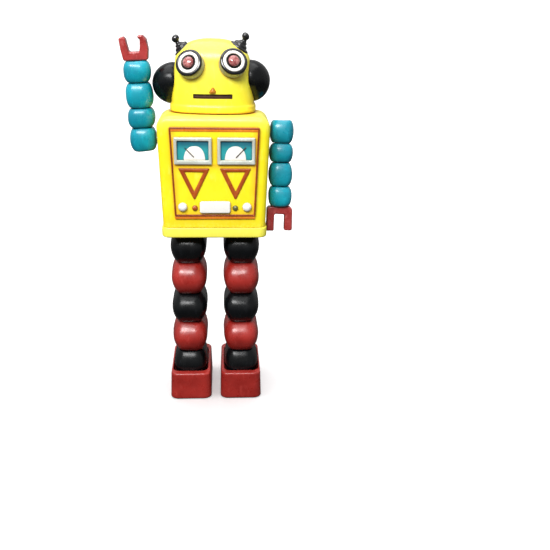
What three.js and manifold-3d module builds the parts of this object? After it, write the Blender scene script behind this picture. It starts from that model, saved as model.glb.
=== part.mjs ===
// A clockwork walking robot, about 300 mm tall, as separate named pieces.
// It faces -Y and stands with +Z up. Left and right are the robot's own, so its left is +X.
import * as THREE from "three";
import { mergeVertices } from "three/addons/utils/BufferGeometryUtils.js";
import Module from "manifold-3d";

const wasm = await Module();
wasm.setup();

// ---------- Driving dimensions, in millimetres and degrees ----------

const gap = 0.3; // between pieces that touch
const tin = 1.2; // wall of the pressed casings
const degree = Math.PI / 180;

const torso = {
  front: -32.7,
  back: 13.8,
  bottom: 154.1,
  top: 240.7,
  halfBottom: 40.4,
  halfTop: 43.6,
  shoulderRound: 10,
  edgeRound: 5,
  coverFront: 10.6, // where the back cover starts
};
const skirt = { half: 41.5, front: -33.7, back: 14.7, bottom: 145.4, height: 8.4, round: 6.5 };
const panel = { bottom: 164, top: 232, halfBottom: 31.4, halfTop: 34.5, thick: 1, rim: 1.1 };
const neck = { x: -0.8, y: -5, radius: 11.4, hole: 12.1, flange: 13.6, top: 246.4 };
const head = { y: -0.8, bottom: 241.3, top: 295.2, halfX: 33.4, halfY: 24, turn: -4 };
const mouth = { x: 1.6, half: 14.5, bottom: 252.6, top: 255.7 };
const features = { z: 256, tilt: -2.8 }; // the eyes, ears and antennas sit slightly out of level
const eye = { x: 15.9, shift: 2, y: -21.4, z: 277.8, radius: 10.4 };
const ear = { y: 3, z: 262.4, halfY: 16, halfZ: 15.8, base: 24, shift: -0.3, leftReach: 0.91 };
const antenna = { x: 18.9, shift: 0.8, y: -4.5, z: 284.6, tilt: 36 };
const arm = { y: 2, depth: 21.5, lean: 1, rod: 1.9, pin: 2.4 };
const armBeads = [18.4, 15.3, 19.2, 16.4];
const claw = { base: 6.4, depth: 10, width: 6.4 };
const arms = [
  { side: "left", sign: 1, x: 54.2, z: 224.4, width: 19.2, clawWidth: 21.2, prong: 14, turn: 8 },
  { side: "right", sign: -1, x: 56, z: 217.7, width: 21.2, clawWidth: 21.8, prong: 12.6, turn: 180 },
];
const wallLean = Math.atan2(torso.halfTop - torso.halfBottom, torso.top - torso.bottom) / degree;

const leg = { x: 21.8, halfX: 14.9, halfY: 25.2, rod: 2.2, neck: 0.72, last: 0.9, lastNeck: 0.8 };
const legLevels = [144.9, 118.6, 91.3, 65.6, 38.9, 11.9]; // tops and bottoms of the beads, down the leg
const boot = { halfX: 17.5, x: 21.3, front: -31.6, back: 31.6, height: 23.8, round: 8, recess: 6 };
const hip = { z: 156, axle: 2, leverReach: 26.8 };

const motor = { x: 0, z: 198, front: -23.6, back: 5, plate: 1.2, halfWidth: 17, top: 223 };
const greatWheel = { teeth: 48, module: 0.9, front: -12.4, thick: 1.6 };
const crankPinion = { teeth: 12, module: 0.9 };
const crankWheel = { teeth: 36, module: 0.7, front: -17, thick: 1.5 };
const flyPinion = { teeth: 9, module: 0.7 };
const backlash = 0.25; // added to each pair's centre distance
const crank = { z: motor.z - ((greatWheel.teeth + crankPinion.teeth) * greatWheel.module) / 2 - backlash };
const flyAngle = 15 * degree;
const flyDistance = ((crankWheel.teeth + flyPinion.teeth) * crankWheel.module) / 2 + backlash;
const fly = { x: flyDistance * Math.cos(flyAngle), z: crank.z + flyDistance * Math.sin(flyAngle) };

// ---------- Materials ----------

function paint(color, roughness, metalness) {
  return new THREE.MeshStandardMaterial({ color, roughness, metalness });
}
const finishes = {
  yellow: [0xf6e11d, 0.35, 0],
  black: [0x151619, 0.2, 0],
  red: [0xb03634, 0.35, 0],
  teal: [0x18a3b5, 0.35, 0],
  white: [0xf4f1e6, 0.35, 0],
  orange: [0xc8481c, 0.35, 0],
  green: [0x7b8338, 0.35, 0],
  silver: [0xc9cbc6, 0.35, 0.8],
  pink: [0xc65a58, 0.15, 0],
  steel: [0x9a9da0, 0.35, 1],
  brass: [0xb8923f, 0.3, 1],
};

// ---------- Shape helpers ----------

// A closed geometry as a solid that can be joined and cut.
function solid(geometry) {
  const bare = geometry.clone();
  bare.deleteAttribute("normal");
  bare.deleteAttribute("uv");
  const merged = mergeVertices(bare, 1e-4);
  return new wasm.Manifold(
    new wasm.Mesh({
      numProp: 3,
      vertProperties: new Float32Array(merged.attributes.position.array),
      triVerts: new Uint32Array(merged.index.array),
    }),
  );
}

function geometryOf(body) {
  const mesh = body.getMesh();
  const geometry = new THREE.BufferGeometry();
  geometry.setAttribute("position", new THREE.BufferAttribute(new Float32Array(mesh.vertProperties), 3));
  geometry.setIndex(new THREE.BufferAttribute(new Uint32Array(mesh.triVerts), 1));
  geometry.computeVertexNormals();
  return geometry;
}

function join(first, ...others) {
  return geometryOf(others.reduce((body, other) => body.add(solid(other)), solid(first)));
}

function cut(first, ...tools) {
  return geometryOf(tools.reduce((body, tool) => body.subtract(solid(tool)), solid(first)));
}

function common(first, second) {
  return geometryOf(solid(first).intersect(solid(second)));
}

// A box from its lowest corner to its highest.
function block(low, high) {
  const geometry = new THREE.BoxGeometry(high[0] - low[0], high[1] - low[1], high[2] - low[2]);
  return geometry.translate((low[0] + high[0]) / 2, (low[1] + high[1]) / 2, (low[2] + high[2]) / 2);
}

// A turned piece about the Z axis, from [radius, height] points listed up its outside.
function turned(profile, sides = 16) {
  const points = profile.map(([radius, height]) => new THREE.Vector2(radius, height));
  return new THREE.LatheGeometry(points, sides).rotateX(90 * degree);
}

// A rod between two points.
function rod(from, to, radius, sides = 12) {
  const start = new THREE.Vector3(...from);
  const along = new THREE.Vector3(...to).sub(start);
  const geometry = new THREE.CylinderGeometry(radius, radius, along.length(), sides);
  geometry.translate(0, along.length() / 2, 0);
  const turn = new THREE.Quaternion().setFromUnitVectors(new THREE.Vector3(0, 1, 0), along.normalize());
  return geometry.applyQuaternion(turn).translate(start.x, start.y, start.z);
}

// An outline in the XZ plane as a slab between two Y values, with its edges rounded.
function upright(outline, front, back, round = 0, curveSegments = 5) {
  const geometry = new THREE.ExtrudeGeometry(outline, {
    depth: back - front - 2 * round,
    bevelEnabled: round > 0,
    bevelThickness: round,
    bevelSize: round,
    bevelOffset: -round,
    bevelSegments: 2,
    curveSegments,
  });
  return geometry.rotateX(90 * degree).translate(0, back - round, 0);
}

// An outline in the XY plane as a slab between two Z values, with its edges rounded.
function flat(outline, bottom, top, round = 0, curveSegments = 5) {
  const geometry = new THREE.ExtrudeGeometry(outline, {
    depth: top - bottom - 2 * round,
    bevelEnabled: round > 0,
    bevelThickness: round,
    bevelSize: round,
    bevelOffset: -round,
    bevelSegments: 2,
    curveSegments,
  });
  return geometry.translate(0, 0, bottom + round);
}

function polygon(points) {
  return new THREE.Shape(points.map(([x, y]) => new THREE.Vector2(x, y)));
}

// A rectangle with rounded corners, from its left, low, right and high sides.
function rounded(left, low, right, high, radius) {
  const outline = new THREE.Shape();
  outline.moveTo(left + radius, low);
  outline.lineTo(right - radius, low);
  outline.absarc(right - radius, low + radius, radius, -90 * degree, 0);
  outline.lineTo(right, high - radius);
  outline.absarc(right - radius, high - radius, radius, 0, 90 * degree);
  outline.lineTo(left + radius, high);
  outline.absarc(left + radius, high - radius, radius, 90 * degree, 180 * degree);
  outline.lineTo(left, low + radius);
  outline.absarc(left + radius, low + radius, radius, 180 * degree, 270 * degree);
  return outline;
}

// Reshapes a turned piece of unit radius to a rounded rectangle in plan.
function squared(geometry, halfX, halfY, power) {
  const position = geometry.attributes.position;
  for (let i = 0; i < position.count; i++) {
    const angle = Math.atan2(position.getY(i), position.getX(i));
    const side = Math.abs(Math.cos(angle)) ** power + Math.abs(Math.sin(angle)) ** power;
    const reach = side ** (-1 / power);
    position.setX(i, position.getX(i) * reach * halfX);
    position.setY(i, position.getY(i) * reach * halfY);
  }
  return geometry;
}

// ---------- The exported group ----------

const robot = new THREE.Group();

function add(name, finish, geometry, parent = robot) {
  const mesh = new THREE.Mesh(geometry, paint(...finishes[finish]));
  mesh.name = name;
  parent.add(mesh);
  return mesh;
}

const sides = [
  { side: "left", sign: 1 },
  { side: "right", sign: -1 },
];

// ---------- Torso casing ----------

// The front outline of the torso, with its sides leaning out and its shoulders rounded.
function torsoOutline(inset, bottom) {
  const slope = (torso.halfTop - torso.halfBottom) / (torso.top - torso.bottom);
  const half = (z) => torso.halfBottom + slope * (z - torso.bottom) - inset;
  const top = torso.top - inset;
  const round = torso.shoulderRound - inset;
  const outline = new THREE.Shape();
  outline.moveTo(-half(bottom), bottom);
  outline.lineTo(half(bottom), bottom);
  outline.lineTo(half(top - round), top - round);
  outline.quadraticCurveTo(half(top), top, half(top) - round, top);
  outline.lineTo(round - half(top), top);
  outline.quadraticCurveTo(-half(top), top, -half(top - round), top - round);
  return outline;
}

function shoulderAxis({ sign }) {
  return new THREE.Vector3(sign * Math.cos(wallLean * degree), 0, -Math.sin(wallLean * degree));
}

// A hole through the side wall, for one arm's pin.
function shoulderHole({ sign, x, z }, radius) {
  const axis = shoulderAxis({ sign });
  const centre = new THREE.Vector3(sign * x, arm.y, z);
  const inner = centre.clone().addScaledVector(axis, -18);
  return rod(inner.toArray(), centre.toArray(), radius);
}

function torsoCasing() {
  const below = 8;
  const whole = upright(torsoOutline(0, torso.bottom - below), torso.front, torso.back, torso.edgeRound);
  const room = upright(
    torsoOutline(tin, torso.bottom - 2 * below),
    torso.front + tin,
    torso.back - tin,
    torso.edgeRound - tin,
  );
  const reach = 60;
  const belowFloor = block([-reach, -reach, 0], [reach, reach, torso.bottom]);
  const walls = cut(whole, room, belowFloor);
  const neckHole = rod([neck.x, neck.y, torso.top - 5], [neck.x, neck.y, torso.top + 5], neck.hole, 16);
  const behind = block([-reach, torso.coverFront, 0], [reach, reach, 300]);
  const ahead = block([-reach, -reach, 0], [reach, torso.coverFront + gap, 300]);
  const keyHole = rod([motor.x, 0, motor.z], [motor.x, 30, motor.z], 3, 16);
  const pinHoles = arms.map((each) => shoulderHole(each, arm.pin + gap));
  add("torso_shell", "yellow", cut(walls, behind, neckHole, ...pinHoles));
  add("back_cover", "yellow", cut(walls, ahead, keyHole));
}

// The skirt: a tray that closes the torso from below, with a lip that stands inside the casing
// and four lugs that carry the hip axle.
function basePan() {
  const top = skirt.bottom + skirt.height;
  const outside = rounded(-skirt.half, skirt.front, skirt.half, skirt.back, skirt.round);
  const inside = rounded(
    tin - skirt.half,
    skirt.front + tin,
    skirt.half - tin,
    skirt.back - tin,
    skirt.round - tin,
  );
  const lipOut = tin + gap;
  const lipHalf = torso.halfBottom - lipOut;
  const lipFront = torso.front + lipOut;
  const lipBack = torso.back - lipOut;
  const lipRound = torso.edgeRound - lipOut;
  const lipBottom = top - 3;
  const lipOuter = rounded(-lipHalf, lipFront, lipHalf, lipBack, lipRound);
  const lipInner = rounded(1 - lipHalf, lipFront + 1, lipHalf - 1, lipBack - 1, lipRound - 1);
  const ledge = flat(outside, lipBottom, top, 0, 4);
  const tray = cut(
    join(flat(outside, skirt.bottom, top, 1.4, 4), ledge),
    flat(inside, skirt.bottom + tin, lipBottom, 0, 2),
  );
  const lip = flat(lipOuter, lipBottom + 0.5, top + 3, 0, 2);
  let pan = cut(join(tray, lip), flat(lipInner, skirt.bottom + 5, top + 10, 0, 2));
  const lugs = [-1, 1].flatMap((sign) =>
    [16, 27.6].map((x) => block([sign * x - 0.6, -3.6, skirt.bottom + 0.6], [sign * x + 0.6, 3.6, hip.z + 4])),
  );
  pan = join(pan, ...lugs);
  const slots = [-1, 1].map((sign) =>
    block([sign * leg.x - 3.4, -6, skirt.bottom - 1], [sign * leg.x + 3.4, 6, skirt.bottom + 3]),
  );
  const axleHole = rod([-34, 0, hip.z], [34, 0, hip.z], hip.axle + gap);
  add("base_pan", "yellow", cut(pan, ...slots, axleHole));
}

// ---------- Chest ----------

const face = torso.front - gap; // where the chest panel's back lies

function trapezoid(inset) {
  const slope = (panel.halfTop - panel.halfBottom) / (panel.top - panel.bottom);
  const low = panel.bottom + inset;
  const high = panel.top - inset;
  const halfLow = panel.halfBottom + slope * inset - inset;
  const halfHigh = panel.halfTop - slope * inset - inset;
  return polygon([
    [-halfLow, low],
    [halfLow, low],
    [halfHigh, high],
    [-halfHigh, high],
  ]);
}

// A raised triangle outline, pointing down.
function triangle(sign) {
  const centre = sign * 15.8;
  const outline = polygon([
    [centre - 11.7, 200.9],
    [centre, 177.9],
    [centre + 11.7, 200.9],
  ]);
  const window = polygon([
    [centre - 7.3, 198.3],
    [centre, 183.9],
    [centre + 7.3, 198.3],
  ]);
  outline.holes.push(window);
  return upright(outline, face - panel.thick - 0.8, face - 0.5);
}

function chest() {
  const sheetFront = face - panel.thick;
  const sheet = upright(trapezoid(0), sheetFront, face);
  const border = trapezoid(0);
  border.holes.push(trapezoid(panel.rim));
  const rim = upright(border, sheetFront - 0.6, face - 0.5);
  const bands = [
    [panel.halfTop - 1.5, panel.top - 4.2, panel.top - 0.8],
    [panel.halfBottom - 1.5, panel.bottom + 0.8, panel.bottom + 1.6],
  ].map(([half, low, high]) => block([-half, sheetFront - 0.4, low], [half, face - 0.5, high]));
  const triangles = [-1, 1].map(triangle);
  add("chest_panel", "yellow", join(sheet, rim, ...bands, ...triangles));

  const front = sheetFront - gap;
  for (const { side, sign } of sides) {
    const x = sign * 16.8;
    const frame = upright(rounded(x - 14.5, 204.7, x + 14.5, 225.5, 1), front - 2.4, front, 0.6, 1);
    const window = block([x - 11.7, front - 3, 208.5], [x + 11.7, front - 0.9, 222.4]);
    add(`meter_${side}`, "silver", cut(frame, window));
    const knob = turned([[0, 0], [3.4, 0], [3.4, 1], [2.7, 2.3], [1.4, 3], [0, 3.2]], 14);
    add(`knob_${side}`, "white", knob.rotateX(90 * degree).translate(sign * 25, front, 171.2));
  }
  const lamp = () => turned([[0, 0], [2.1, 0], [2, 0.8], [1.2, 1.5], [0, 1.7]], 12).rotateX(90 * degree);
  add("lamp_red", "orange", lamp().translate(-15.6, front, 170.3));
  add("lamp_green", "green", lamp().translate(15.9, front, 170.3));
  add("chest_bar", "white", upright(rounded(-11.7, 166.6, 11.7, 175.4, 1.4), front - 1.8, front, 0.5, 1));
}

// ---------- Neck and head ----------

function neckPost() {
  const inner = 8;
  const below = torso.top - tin - gap;
  const above = head.bottom + tin + gap;
  const post = turned(
    [
      [inner, below - 1.2],
      [neck.flange, below - 1.2],
      [neck.flange, below],
      [neck.radius, below],
      [neck.radius, above],
      [neck.flange, above],
      [neck.flange, neck.top - 1],
      [inner, neck.top - 1],
      [inner, below - 1.2],
    ],
    16,
  );
  add("neck_post", "steel", post.translate(neck.x, neck.y, 0));
}

// The outside of the head, a tapered dome on a rounded rectangle, grown by a margin.
function headForm(margin) {
  const shares = [
    [1.0, head.bottom - margin],
    [1.0, head.bottom + 4.6],
    [0.965, head.bottom + 6],
    [0.925, head.bottom + 21],
    [0.868, head.bottom + 35.5],
  ];
  const shoulder = shares[shares.length - 1];
  const rise = head.top - shoulder[1];
  const domeSteps = 5;
  for (let i = 1; i <= domeSteps; i++) {
    const angle = (i / domeSteps) * 90 * degree;
    const share = shoulder[0] * Math.cos(angle) ** 0.82;
    shares.push([i === domeSteps ? 0 : share, shoulder[1] + (rise + margin) * Math.sin(angle) ** 0.95]);
  }
  const form = turned([[0, head.bottom - margin], ...shares], 20);
  return squared(form, head.halfX + margin, head.halfY + margin, 2.7).translate(0, head.y, 0);
}

function featureTilt() {
  const turn = new THREE.Matrix4().makeRotationY(features.tilt * degree);
  const lift = new THREE.Matrix4().makeTranslation(0, 0, features.z);
  return lift.clone().multiply(turn).multiply(lift.clone().invert());
}

function eyeSeat(sign) {
  const frame = new THREE.Group();
  frame.position.set(sign * eye.x + eye.shift, eye.y, eye.z);
  const axis = new THREE.Vector3(sign * 0.25, -0.86, 0.42).normalize();
  frame.quaternion.setFromUnitVectors(new THREE.Vector3(0, 0, 1), axis);
  frame.updateMatrix();
  return featureTilt().multiply(frame.matrix);
}

// Outlines of the turned pieces on the head, as [radius, height] from the head's surface outwards.
const hornProfile = [
  [0, -6],
  [6.8, -6],
  [7.6, 4.2],
  [7.2, 5.4],
  [5, 6.2],
  [4.1, 7.7],
  [2.9, 8.7],
  [1.9, 9.9],
  [1.9, 11.4],
  [2.8, 12.8],
  [2.8, 14.8],
  [0, 16.2],
];
const podProfile = [
  [0, 0],
  [0.88, 0],
  [1, 6],
  [0.94, 11],
  [0.76, 16.6],
  [0.44, 21],
  [0, 23.2],
];
const bezelProfile = [
  [0, -4],
  [eye.radius, -4],
  [eye.radius, 2.4],
  [9.6, 4],
  [8.2, 4.6],
  [5.7, 4.6],
  [5.5, 3.7],
  [0, 3.7],
];
const lensProfile = [
  [0, 4],
  [4.3, 4],
  [4.1, 5.1],
  [2.8, 6.3],
  [0, 6.8],
];

function headPieces() {
  const turning = new THREE.Group();
  turning.position.set(neck.x, neck.y, 0);
  turning.rotation.z = head.turn * degree;
  const place = new THREE.Group();
  place.position.y = -neck.y;
  turning.add(place);
  robot.add(turning);
  const addTo = (name, finish, geometry) => add(name, finish, geometry, place);
  const outer = headForm(0);
  const inner = headForm(-tin);
  const holes = sides.map(({ sign }) =>
    rod([0, 0, -12], [0, 0, 12], eye.radius + gap, 16).applyMatrix4(eyeSeat(sign)),
  );
  const floorHole = rod([0, neck.y, 230], [0, neck.y, 250], neck.hole, 16);
  const mouthHole = block([mouth.x - mouth.half, -40, mouth.bottom], [mouth.x + mouth.half, -15, mouth.top]);
  const nose = squared(turned([[0, -1.6], [1, -1], [0.5, 1.2], [0, 2.6]], 6), 2.6, 1.6, 2);
  nose.translate(mouth.x, head.y - head.halfY * 0.96, 257.9);
  const shell = cut(outer, inner, mouthHole, ...holes, floorHole);
  addTo("head_shell", "yellow", join(shell, cut(nose, inner)));

  // The mouth is a dark strip held in the slot by a wider back.
  const mouthFront = head.y - head.halfY * 0.965 + 1.5;
  const strip = block(
    [mouth.x + gap - mouth.half, mouthFront, mouth.bottom + gap],
    [mouth.x + mouth.half - gap, mouthFront + 5, mouth.top - gap],
  );
  addTo("mouth", "black", common(strip, headForm(-0.4)));

  const pod = squared(turned(podProfile), 1, 1, 2.3);
  const clearance = headForm(gap);
  for (const { side, sign } of sides) {
    const shaped = pod.clone().scale(ear.halfY, ear.halfZ, sign > 0 ? ear.leftReach : 1);
    narrowBelow(shaped);
    shaped.rotateX(90 * degree).rotateZ(sign * 90 * degree);
    shaped.translate(sign * ear.base + ear.shift, ear.y, ear.z).applyMatrix4(featureTilt());
    addTo(`ear_${side}`, "black", cut(shaped, clearance));

    const horn = turned(hornProfile, 12);
    horn.rotateY(sign * antenna.tilt * degree).translate(sign * antenna.x + antenna.shift, antenna.y, antenna.z);
    horn.applyMatrix4(featureTilt());
    addTo(`antenna_${side}`, "black", cut(horn, clearance));

    const seat = eyeSeat(sign);
    addTo(`eye_bezel_${side}`, "black", turned(bezelProfile).applyMatrix4(seat));
    addTo(`eye_lens_${side}`, "pink", turned(lensProfile, 12).applyMatrix4(seat));
  }
}

// Draws the lower half of an ear pod in, like a rounded pick that points down.
function narrowBelow(geometry) {
  const position = geometry.attributes.position;
  for (let i = 0; i < position.count; i++) {
    const drop = Math.max(0, -position.getY(i) / ear.halfZ);
    position.setX(i, position.getX(i) * (1 - 0.34 * drop));
  }
}

// ---------- Arms ----------

// A bead from z = 0 to its height, a rounded rectangle in plan that bulges at its middle.
function bead(height, halfX, halfY, neckShare, power) {
  const bands = 4;
  const cutoff = Math.sqrt(1 - neckShare ** 2);
  const profile = [[0, 0]];
  for (let i = 0; i <= bands; i++) {
    const level = (2 * i) / bands - 1;
    profile.push([Math.sqrt(1 - (cutoff * level) ** 2), (height * i) / bands]);
  }
  profile.push([0, height]);
  return squared(turned(profile), halfX, halfY, power);
}

// A U-shaped gripper that opens towards -Z, with its base's top at z = 0.
function clawForm(width, prong) {
  const half = width / 2;
  const inside = half - claw.width;
  const end = -(claw.base + prong);
  const outline = new THREE.Shape();
  outline.moveTo(-half + 2, 0);
  outline.lineTo(half - 2, 0);
  outline.quadraticCurveTo(half - 0.4, -0.3, half - 0.2, -3);
  outline.lineTo(half, end + 2);
  outline.quadraticCurveTo(half - 0.5, end, half - 3, end);
  outline.lineTo(inside + 1, end);
  outline.lineTo(inside, end + 2);
  outline.lineTo(inside, -claw.base);
  outline.lineTo(-inside, -claw.base);
  outline.lineTo(-inside, end + 2);
  outline.lineTo(-inside - 1, end);
  outline.lineTo(3 - half, end);
  outline.quadraticCurveTo(0.5 - half, end, -half, end + 2);
  outline.lineTo(0.2 - half, -3);
  outline.quadraticCurveTo(0.4 - half, -0.3, 2 - half, 0);
  return upright(outline, -claw.depth / 2, claw.depth / 2, 1.2, 2);
}

function armPieces({ side, sign, x, z, width, clawWidth, prong, turn }) {
  const shoulder = new THREE.Group();
  const axis = shoulderAxis({ sign });
  shoulder.position.set(sign * x, arm.y, z);
  shoulder.quaternion.setFromAxisAngle(axis, -sign * turn * degree);
  robot.add(shoulder);

  // Beads hang down the rod, which leans out a little from the wall's own slope.
  const stack = new THREE.Group();
  stack.rotation.y = sign * (wallLean - arm.lean) * degree;
  shoulder.add(stack);
  stack.updateMatrix();
  const toStack = stack.matrix.clone().invert();
  const pinEnd = x - torso.halfTop + 4.6;
  const pinAt = (distance) => axis.clone().multiplyScalar(-distance).toArray();
  const pin = (radius) => rod(pinAt(pinEnd), pinAt(0), radius).applyMatrix4(toStack);

  let top = armBeads[0] / 2;
  armBeads.forEach((height, index) => {
    const bottom = top - height;
    const form = bead(height - gap, width / 2, arm.depth / 2, 0.72, 3.6).translate(0, 0, bottom);
    const start = index === 0 ? 0 : top + 1;
    const bore = rod([0, 0, bottom - 1], [0, 0, start], arm.rod + gap);
    const holes = index === 0 ? [bore, pin(arm.pin + gap)] : [bore];
    add(`${side}_arm_bead_${index + 1}`, "teal", cut(form, ...holes), stack);
    top = bottom;
  });

  const clawTop = top - gap;
  const tail = clawTop - 5;
  const socket = rod([0, 0, tail - gap], [0, 0, clawTop + 1], arm.rod + gap);
  add(`${side}_claw`, "red", cut(clawForm(clawWidth, prong).translate(0, 0, clawTop), socket), stack);
  const rivet = rod(pinAt(pinEnd), pinAt(pinEnd - 1.2), 4.6, 16).applyMatrix4(toStack);
  add(`${side}_arm_rod`, "steel", join(rod([0, 0, tail], [0, 0, 0], arm.rod), pin(arm.pin), rivet), stack);
}

// ---------- Legs ----------

function bootForm() {
  const outline = rounded(-boot.halfX, boot.front, boot.halfX, boot.back, boot.round);
  const body = flat(outline, 0, boot.height, 2, 3);
  const recessX = leg.halfX * leg.last + 0.9;
  const recessY = leg.halfY * leg.last + 0.9;
  const recess = flat(
    rounded(-recessX, -recessY, recessX, recessY, boot.round - 1.5),
    boot.height - boot.recess,
    boot.height + 5,
    0,
    3,
  );
  return cut(body, recess);
}

function legPieces({ side, sign }) {
  const x = sign * leg.x;
  const place = new THREE.Group();
  place.position.x = x;
  robot.add(place);
  const bootFloor = block([-40, -40, 0], [40, 40, boot.height - boot.recess + gap]);
  const colours = ["black", "red", "black", "red", "black"];
  colours.forEach((finish, index) => {
    const [top, bottom] = [legLevels[index], legLevels[index + 1] + gap];
    const [size, waist] = index === colours.length - 1 ? [leg.last, leg.lastNeck] : [1, leg.neck];
    const whole = bead(top - bottom, leg.halfX * size, leg.halfY * size, waist, 4).translate(0, 0, bottom);
    const bore = rod([0, 0, bottom - 5], [0, 0, top + 5], leg.rod + gap);
    const form = index === 0 ? cut(whole, bore, ...roof()) : cut(whole, bore, bootFloor);
    add(`${side}_leg_bead_${index + 1}`, finish, form, place);
  });

  const socketDepth = 9;
  const tail = boot.height - boot.recess - socketDepth;
  const socket = rod([0, 0, tail - gap], [0, 0, 60], leg.rod + gap);
  const shoe = bootForm();
  shoe.translate(sign * (boot.x - leg.x), 0, 0);
  add(`${side}_boot`, "red", cut(shoe, socket), place);

  const bush = rod([-4.2, 0, hip.z], [4.2, 0, hip.z], 4.4, 16);
  const bar = block([-2, -hip.leverReach + 3, hip.z - 2.4], [2, 0, hip.z + 2.4]);
  const fork = [-1, 1].map((up) =>
    block(
      [-2, -hip.leverReach - 1.6, hip.z + (up > 0 ? 2.7 : -4.7)],
      [2, 4 - hip.leverReach, hip.z + (up > 0 ? 4.7 : -2.7)],
    ),
  );
  const heel = block([-2, 3 - hip.leverReach, hip.z - 4.7], [2, 5 - hip.leverReach, hip.z + 4.7]);
  const axleHole = rod([-6, 0, hip.z], [6, 0, hip.z], hip.axle + gap);
  const rodForm = join(rod([0, 0, tail], [0, 0, hip.z - 3], leg.rod), bush, bar, ...fork, heel);
  add(`${side}_leg_rod`, "steel", cut(rodForm, axleHole), place);
}

// Two blocks that slope a leg's top to either side of the hip, so that it swings clear of the skirt.
function roof() {
  return [-1, 1].map((sign) => {
    const slab = block([-40, -60, 0], [40, 60, 40]);
    return slab.rotateX(sign * (legSwing + 0.6) * degree).translate(0, 0, legLevels[0]);
  });
}

// ---------- Clockwork ----------

// An involute gear outline about the origin, with one tooth centred on the given angle.
function gearOutline({ teeth, module }, phase) {
  const pressure = 20 * degree;
  const pitchRadius = (teeth * module) / 2;
  const baseRadius = pitchRadius * Math.cos(pressure);
  const tip = pitchRadius + 0.85 * module;
  const root = pitchRadius - 1.2 * module;
  const halfTooth = (90 * degree) / teeth - 0.03;
  const involute = (angle) => Math.tan(angle) - angle;
  const points = [];
  const flank = [];
  for (const share of [0, 1]) {
    const start = Math.max(baseRadius, root);
    const radius = start + share * (tip - start);
    const roll = Math.acos(Math.min(1, baseRadius / radius));
    flank.push([radius, Math.max(0.01, halfTooth + involute(pressure) - involute(roll))]);
  }
  if (root < baseRadius - 0.3) flank.unshift([root, flank[0][1]]);
  for (let i = 0; i < teeth; i++) {
    const centre = phase + (i * 360 * degree) / teeth;
    for (const [radius, half] of flank) points.push([radius, centre - half]);
    for (const [radius, half] of flank.slice().reverse()) points.push([radius, centre + half]);
  }
  return polygon(points.map(([radius, angle]) => [radius * Math.cos(angle), radius * Math.sin(angle)]));
}

function gear(spec, phase, front, back) {
  return upright(gearOutline(spec, phase), front, back);
}

function alongY(x, z, front, back, radius, count = 12) {
  return rod([x, front, z], [x, back, z], radius, count);
}

function motorFrame() {
  const bearing = (x, z, radius) => alongY(x, z, -30, 10, radius);
  const holes = [bearing(motor.x, motor.z, 2.3), bearing(0, crank.z, 1.5), bearing(fly.x, fly.z, 1.2)];
  const pillars = [
    [-14, 218.8],
    [14, 218.8],
    [-14, 163.6],
    [14, 163.6],
  ];
  const floor = skirt.bottom + tin + gap;
  const frontSheet = upright(
    rounded(-motor.halfWidth, floor, motor.halfWidth, motor.top, 2),
    motor.front,
    motor.front + motor.plate,
    0,
    2,
  );
  const stud = turned(
    [
      [0, -1],
      [3, -1],
      [3, 2.1],
      [1.5, 2.1],
      [1.5, 4.3],
      [2.8, 4.3],
      [2.8, 5.1],
      [0, 5.1],
    ],
    14,
  );
  stud.rotateX(90 * degree).translate(0, motor.front, hip.z);
  add("motor_front_plate", "brass", cut(join(frontSheet, stud), ...holes));

  const backSheet = upright(
    rounded(-motor.halfWidth, 161, motor.halfWidth, motor.top, 2),
    motor.back - motor.plate,
    motor.back,
    0,
    2,
  );
  const posts = pillars.map(([x, z]) =>
    alongY(x, z, motor.front + motor.plate + gap, motor.back - 0.5, 1.5, 8),
  );
  add("motor_back_plate", "brass", cut(join(backSheet, ...posts), ...holes));
}

// A strip wound outwards round the arbor, whose outer end reaches for a pillar.
function mainspring() {
  const turns = 4;
  const stepsPerTurn = 14;
  const steps = turns * stepsPerTurn;
  const endAngle = 56 * degree;
  const strip = 0.7;
  const path = [];
  for (let i = 0; i <= steps; i++) {
    const share = i / steps;
    const tail = Math.max(0, (share - 0.93) / 0.07);
    path.push([5.6 + 12 * share + 4.4 * tail, endAngle - (1 - share) * turns * 360 * degree]);
  }
  const side = (offset) => path.map(([r, a]) => [(r + offset) * Math.cos(a), (r + offset) * Math.sin(a)]);
  const outline = polygon([...side(strip), ...side(0).reverse()]);
  add("mainspring", "steel", upright(outline, -8, 2).translate(motor.x, 0, motor.z));
}

function windingPieces() {
  const teeth = 12;
  const ratchet = [];
  for (let i = 0; i < teeth; i++) {
    const angle = (i * 360 * degree) / teeth;
    ratchet.push([7 * Math.cos(angle), 7 * Math.sin(angle)]);
    ratchet.push([5.4 * Math.cos(angle + 3 * degree), 5.4 * Math.sin(angle + 3 * degree)]);
  }
  const arbor = join(
    alongY(0, 0, -24, 21, 2),
    alongY(0, 0, -8.9, 2.6, 4.4),
    upright(polygon(ratchet), -10.3, -8.8),
  );
  add("winding_arbor", "steel", arbor.translate(motor.x, 0, motor.z));

  const wings = new THREE.Shape();
  wings.moveTo(-2.6, 21);
  wings.lineTo(2.6, 21);
  wings.bezierCurveTo(8, 17, 16.5, 20, 16.5, 27.5);
  wings.bezierCurveTo(16.5, 35.5, 6, 37, 0, 31.5);
  wings.bezierCurveTo(-6, 37, -16.5, 35.5, -16.5, 27.5);
  wings.bezierCurveTo(-16.5, 20, -8, 17, -2.6, 21);
  for (const { sign } of sides) {
    wings.holes.push(new THREE.Path().absellipse(sign * 9.8, 27.6, 3.4, 4, 0, 360 * degree));
  }
  const key = cut(
    join(flat(wings, -0.9, 0.9, 0, 6), alongY(0, 0, 14.6, 26, 3.4, 14)),
    alongY(0, 0, 14, 21.5, 2.3),
  );
  add("winding_key", "steel", key.translate(motor.x, 0, motor.z));
}

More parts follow.
